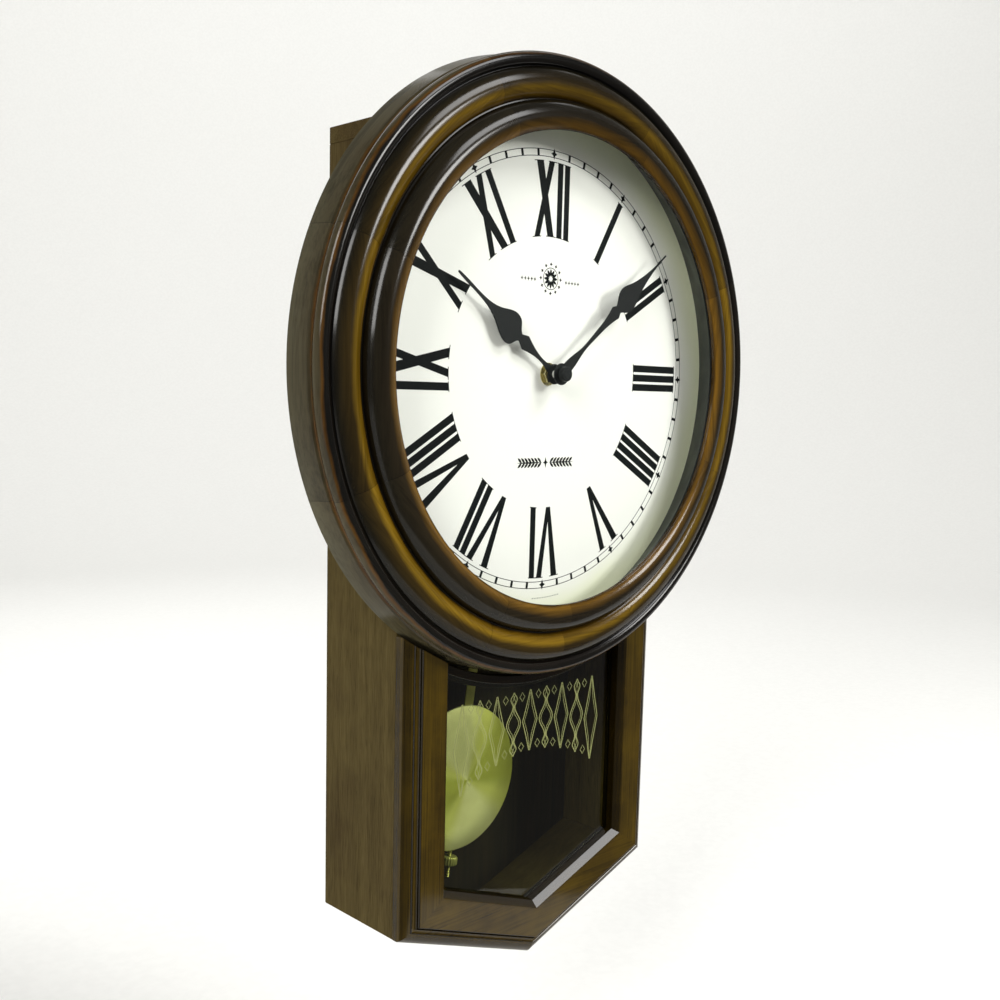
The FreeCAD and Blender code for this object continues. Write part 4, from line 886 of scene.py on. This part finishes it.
def wave_shape(middle, widths, inset):
    """a closed ornament as wide at each height as widths say; heights run from bottom to top"""
    top = FRIEZE_TOP - inset * 1.2
    bottom = frieze_bottom(middle) + inset * 1.2
    right, left = [], []
    for share, half in widths:
        height = bottom + (top - bottom) * share
        right.append((middle + max(0.25, half - inset), height))
        left.append((middle - max(0.25, half - inset), height))
    return right + left[::-1]


def smooth_widths(stations, steps=5):
    """half widths between stations, eased"""
    result = []
    for (s0, w0), (s1, w1) in zip(stations, stations[1:]):
        for step in range(steps):
            share = step / steps
            ease = share * share * (3 - 2 * share)
            result.append((s0 + (s1 - s0) * share, w0 + (w1 - w0) * ease))
    return result + [stations[-1]]


# Share of the height, and half the width there.
SPEAR = smooth_widths([(0.0, 0.3), (0.10, 2.7), (0.22, 0.7), (0.50, 5.9), (0.78, 0.7), (0.90, 2.7),
                       (1.0, 0.3)])
LOZENGE = [(0.0, 0.3), (0.25, 3.1), (0.5, 6.3), (0.75, 3.1), (1.0, 0.3)]


def frieze():
    """a band of outlined spears and lozenges, printed in gold on the back of the door's glass"""
    shape = bmesh.new()
    out = outs("door_glass")[0] - FRIEZE_GAP
    for cell in range(FRIEZE_CELLS):
        middle = (cell - (FRIEZE_CELLS - 1) / 2) * FRIEZE_PITCH
        widths = SPEAR if cell % 2 else LOZENGE
        ribbon(shape, wave_shape(middle, widths, 0.0), 0.6, out, PRINT)
        ribbon(shape, wave_shape(middle, widths, 1.5), 0.35, out, PRINT)
        if cell:
            between = middle - FRIEZE_PITCH / 2
            for height in (FRIEZE_TOP - 3.5, frieze_bottom(between) + 3.5):
                ribbon(shape, star(2.2, 2.8, 1.6, (between, height)), 0.4, out, PRINT)
    show("glass_frieze", shape, "door_glass", "gilt", stands_in=False)


def door():
    """the moulded frame, the slim rail behind the bezel, the beads behind the glass and its print"""
    member("door_stile_left", stile_top, corner, -1)
    member("door_stile_right", stile_top, corner, 1)
    member("door_rail_left", corner, vertex, -1, "door_rail_wood")
    member("door_rail_right", corner, vertex, 1, "door_rail_wood")
    # The slim rail and the beads take the near-black look: painted shade.
    refined("door_top_rail", "top_rail_wood")
    refined("glass_beads", "top_rail_wood", bevel=0.2, segments=2)
    frieze()


# ---------------------------------------------------------------- case, back and pendulum

def case():
    """panels, rails and covers with eased edges"""
    refined("side_panel_left")
    refined("side_panel_right")
    for node in ("top_panel", "bottom_panel_left", "bottom_panel_right"):
        refined(node, "foot_stain")
    refined("hanger_plate", bevel=0.2, segments=2)
    refined("movement_rear_cover")
    refined("movement_front_cover", bevel=0.3)
    for node in ("hanging_rail", "cross_rail", "glue_strips"):
        refined(node)
    refined("back_board", bevel=0.3, segments=2)


def islands(node):
    """the boxes of a node's separate solids"""
    shape = cad_shape(node)
    left, boxes = set(shape.verts), []
    while left:
        todo, found = [left.pop()], []
        while todo:
            vert = todo.pop()
            found.append(vert.co.copy())
            near = {edge.other_vert(vert) for edge in vert.link_edges} & left
            left -= near
            todo.extend(near)
        boxes.append([Vector([pick(place[k] for place in found) for k in range(3)]) for pick in (min, max)])
    shape.free()
    return sorted(boxes, key=lambda box: (round(box[0].x, 4), round(box[0].z, 4)))


HEAD_HEIGHT, HEAD_DOME, RECESS_DEPTH = 1.4, 0.9, 0.75
RECESS_ARM, RECESS_HALF = 0.62, 0.17  # shares of the head's radius


def cross_depth(right, up):
    """how far a cross recess sinks a screw's head there; the place is a share of its radius"""
    near, far = sorted((abs(right), abs(up)))
    return RECESS_DEPTH if near < RECESS_HALF and far < RECESS_ARM else 0.0


def screw(box, shank):
    """a round-headed screw with a cross recess, its head to the wall"""
    low, high = box
    radius, tip = (high.x - low.x) / 2 / MM, -low.y / MM
    back = -high.y / MM
    seat = back + HEAD_HEIGHT
    right, up = centre_of(box)
    rows, steps, rings = [], 48, 14
    for step in range(steps):
        turn = 2 * math.pi * step / steps
        way = (math.sin(turn), math.cos(turn))
        row = []
        for ring in range(rings + 1):
            share = ring / rings
            dome = back + HEAD_DOME * share ** 3
            row.append((radius * share, dome + cross_depth(share * way[0], share * way[1])))
        row += [(radius, seat), (shank, seat), (shank, tip - 1.5), (0.2, tip), (0.0, tip)]
        rows.append([at(right + spot * way[0], up + spot * way[1], out) for spot, out in row])
    return closed_ring(rows)


def screws(node, shank):
    """a piece for each screw of a node"""
    for number, box in enumerate(islands(node)):
        show(f"{node[:-1]}_{number}", screw(box, shank), node)


def hardware():
    """screws, the magnetic catch and its strike plate, the clips round the dial board"""
    screws("hanger_screws", 1.1)
    screws("back_board_screws", 1.1)
    screws("clip_screws", 0.8)
    screws("bezel_screws", 1.3)
    refined("catch_body", bevel=0.4)
    refined("catch_magnet", bevel=0.4)
    refined("strike_plate", bevel=0.15, segments=2)
    refined("board_clips", bevel=0.25, segments=2)


def battery():
    """a dry cell with rolled ends and a nub"""
    low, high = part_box("battery")
    radius, length = (high.z - low.z) / 2 / MM, (high.x - low.x) / MM
    can = length - 1.4
    profile = [(0, 0.25), (5.2, 0.25), (5.6, 0), (radius - 0.5, 0), (radius, 0.5), (radius, can - 0.5),
               (radius - 0.5, can), (3.4, can), (3.2, can - 0.1), (2.7, can), (2.7, length - 0.3),
               (2.4, length), (0, length)]
    base = Vector((low.x, (low.y + high.y) / 2, (low.z + high.z) / 2))
    show("dry_cell", spin(profile, base, Vector((1, 0, 0))), "battery")


def set_knob():
    """the fluted knob that sets the hands"""
    back, front = outs("set_knob")
    profile = [(1.03, back + 0.6), (4.8, back + 0.6), (5.2, back), (6.4, back), (7.0, back + 0.6),
               (7.0, front - 1.0), (2.6, front - 1.0), (2.6, front), (1.03, front)]
    knob = lathe(profile, centre_of(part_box("set_knob")), 192, flutes=32, depth=0.4)
    show("hand_setter", knob, "set_knob")


def bob():
    """the domed disc"""
    low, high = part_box("pendulum_bob")
    reach, (back, front) = (high.x - low.x) / 2 / MM, outs("pendulum_bob")
    skin, eye, edge = 0.6, 3.0, 0.25
    rise = front - back - skin
    radius = (reach ** 2 + rise ** 2) / (2 * rise)
    spots = [reach - edge - (reach - edge - eye) * step / 24 for step in range(25)]
    face = [(spot, front - radius + math.sqrt(radius ** 2 - spot ** 2)) for spot in spots]
    inside = [(spot, max(back, out - skin)) for spot, out in reversed(face)]
    profile = [(reach, back), (reach, back + 0.35)] + face + [(0, face[-1][1]), (0, inside[0][1])] + inside
    show("bob_dome", lathe(profile, centre_of((low, high))), "pendulum_bob", sharp=20)


def on_pendulum(name, node, profile, look=None, **flutes):
    """a piece turned about the pendulum's own centre line, standing on the bottom of its node"""
    bob_low, bob_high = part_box("pendulum_bob")
    pin_low, pin_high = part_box("pendulum_pivot")
    axis = (pin_low + pin_high) / 2 - (bob_low + bob_high) / 2
    axis.y = 0
    axis.normalize()
    part_low, part_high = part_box(node)
    middle = (part_low + part_high) / 2
    base = middle - axis * profile[-1][1] / 2 * MM
    show(name, spin(profile, base, axis, 160, **flutes), node, look)


def pendulum():
    """the bob, its rod and hanger, and the knurled nut on a threaded rod that sets the rate"""
    bob()
    nut = [(1.52, 0), (4.6, 0), (5.2, 0.6), (5.2, 4.4), (4.6, 5.0), (1.52, 5.0)]
    on_pendulum("rating_nut_knurled", "rating_nut", nut, "nut_brass", flutes=20, depth=0.45)
    thread = [(0, 0), (1.0, 0)]
    for turn in range(1, 31):
        thread.append((1.5 if turn % 2 else 1.25, 0.5 * turn))
    on_pendulum("rating_screw_thread", "rating_screw", thread + [(1.3, 16.0), (0, 16.0)])
    refined("pendulum_rod", bevel=0.2, segments=2)
    refined("pendulum_hanger", bevel=0.3)
    refined("bob_back", bevel=0.2, segments=2)


case()
bezel()
spacer()
dial()
hands()
door()
pendulum()
hardware()
battery()
set_knob()

for name, slot in SLOTS.items():
    solid = frame["nodes"][name].data
    solid.materials.clear()
    solid.materials.append(LOOKS[slot])
    shade_smooth(solid)


# ---------------------------------------------------------------- floor, lights and camera

FLOOR_COLOUR, FLOOR_DROP = (0.83, 0.83, 0.81), 0.16
WALL_RADIUS, WALL_BEND, WALL_HEIGHT = 4.2, 1.6, 5.0
NEAR_RADIUS = 0.5  # short in front of the clock, so that the door's glass doesn't mirror the floor
POLE = 0.00001  # where the sectors meet


def backdrop():
    """a round pale floor, and behind the clock a wall that it curves up into"""
    floor, flat = cad_box[0][2] - FLOOR_DROP, WALL_RADIUS - WALL_BEND
    line = [(POLE, floor), (flat, floor)]
    for step in range(1, 21):
        turn = math.pi / 2 * step / 20
        line.append((flat + WALL_BEND * math.sin(turn), floor + WALL_BEND - WALL_BEND * math.cos(turn)))
    line.append((WALL_RADIUS, WALL_HEIGHT))
    paper = Shader("backdrop_paper", Specular_IOR_Level=0.2)
    fleck = paper.noise(paper.place, 120, 3, 0.5)
    colour = paper.ramp(fleck, [(0.3, tuple(value * 0.97 for value in FLOOR_COLOUR)), (0.7, FLOOR_COLOUR)])
    paper.finish(colour, paper.ramp(fleck, [(0.3, 0.8), (0.7, 0.95)]), paper.bump(fleck, 0.0003, 0.2))
    near = [(POLE, floor), (NEAR_RADIUS, floor)]
    for name, section, start, sectors in (("backdrop", line, -120, 60), ("floor", near, 120, 30)):
        rows = []
        for step in range(sectors + 1):
            turn = math.radians(start + 4 * step)
            rows.append([Vector((spot * math.sin(turn), spot * math.cos(turn), up)) for spot, up in section])
        mesh = bpy.data.meshes.new(name)
        loft(rows, closed_rows=False, caps=False).to_mesh(mesh)
        for face in mesh.polygons:
            face.use_smooth = True
        mesh.materials.append(paper.material)
        thing = bpy.data.objects.new(name, mesh)
        scene.collection.objects.link(thing)


def softbox(name, place, size, power, colour=(1, 1, 1), aim=(0.0, -0.06, -0.15)):
    """an area light turned to the clock"""
    lamp = bpy.data.lights.new(name, "AREA")
    lamp.shape = "RECTANGLE"
    lamp.size, lamp.size_y = size
    lamp.energy = power
    lamp.color = colour
    thing = bpy.data.objects.new(name, lamp)
    thing.location = place
    thing.rotation_euler = (Vector(aim) - Vector(place)).to_track_quat("-Z", "Y").to_euler()
    scene.collection.objects.link(thing)


def lights():
    """soft lights from the front, above, the left and behind, and one on the wall"""
    softbox("key", (1.0, -1.87, 0.62), (0.55, 0.55), 29, (1.0, 0.99, 0.965))
    softbox("overhead", (0.62, -1.18, 1.22), (0.75, 0.6), 18)
    softbox("left_fill", (-1.9, -0.9, 0.9), (0.7, 1.1), 40, (1.0, 0.99, 0.97))
    softbox("back_fill", (0.3, 1.7, 0.9), (1.2, 1.2), 8)
    softbox("backdrop_wash", (1.0, 1.0, 2.6), (3.0, 1.6), 68, aim=(2.4, 3.6, 0.0))
    scene.world = bpy.data.worlds.new("studio")
    scene.world.use_nodes = True
    sky = scene.world.node_tree.nodes["Background"]
    sky.inputs["Color"].default_value = (1.0, 0.98, 0.95, 1)
    sky.inputs["Strength"].default_value = 0.2


CAMERA_PLACE = (-0.49065, -0.53054, -0.11514)
CAMERA_YAW, CAMERA_PITCH, CAMERA_ROLL = 0.7562, -0.1207, 0.0214


def camera():
    """the photograph's viewpoint: low and close, in front of the clock and to its left"""
    data = bpy.data.cameras.new("camera")
    data.sensor_width = 36
    data.lens = 41.4
    data.shift_x, data.shift_y = 0.0267, 0.0385
    data.clip_start = 0.02
    data.clip_end = 50
    yaw, pitch = CAMERA_YAW, CAMERA_PITCH
    ahead = Vector((math.sin(yaw) * math.cos(pitch), math.cos(yaw) * math.cos(pitch), math.sin(pitch)))
    right = ahead.cross(Vector((0, 0, 1))).normalized()
    up = right.cross(ahead)
    cosine, sine = math.cos(CAMERA_ROLL), math.sin(CAMERA_ROLL)
    right, up = cosine * right + sine * up, cosine * up - sine * right
    turn = Matrix((right, up, -ahead)).transposed()
    thing = bpy.data.objects.new("camera", data)
    thing.matrix_world = Matrix.Translation(CAMERA_PLACE) @ turn.to_4x4()
    scene.collection.objects.link(thing)
    scene.camera = thing


backdrop()
lights()
camera()
scene.view_settings.view_transform = "Standard"
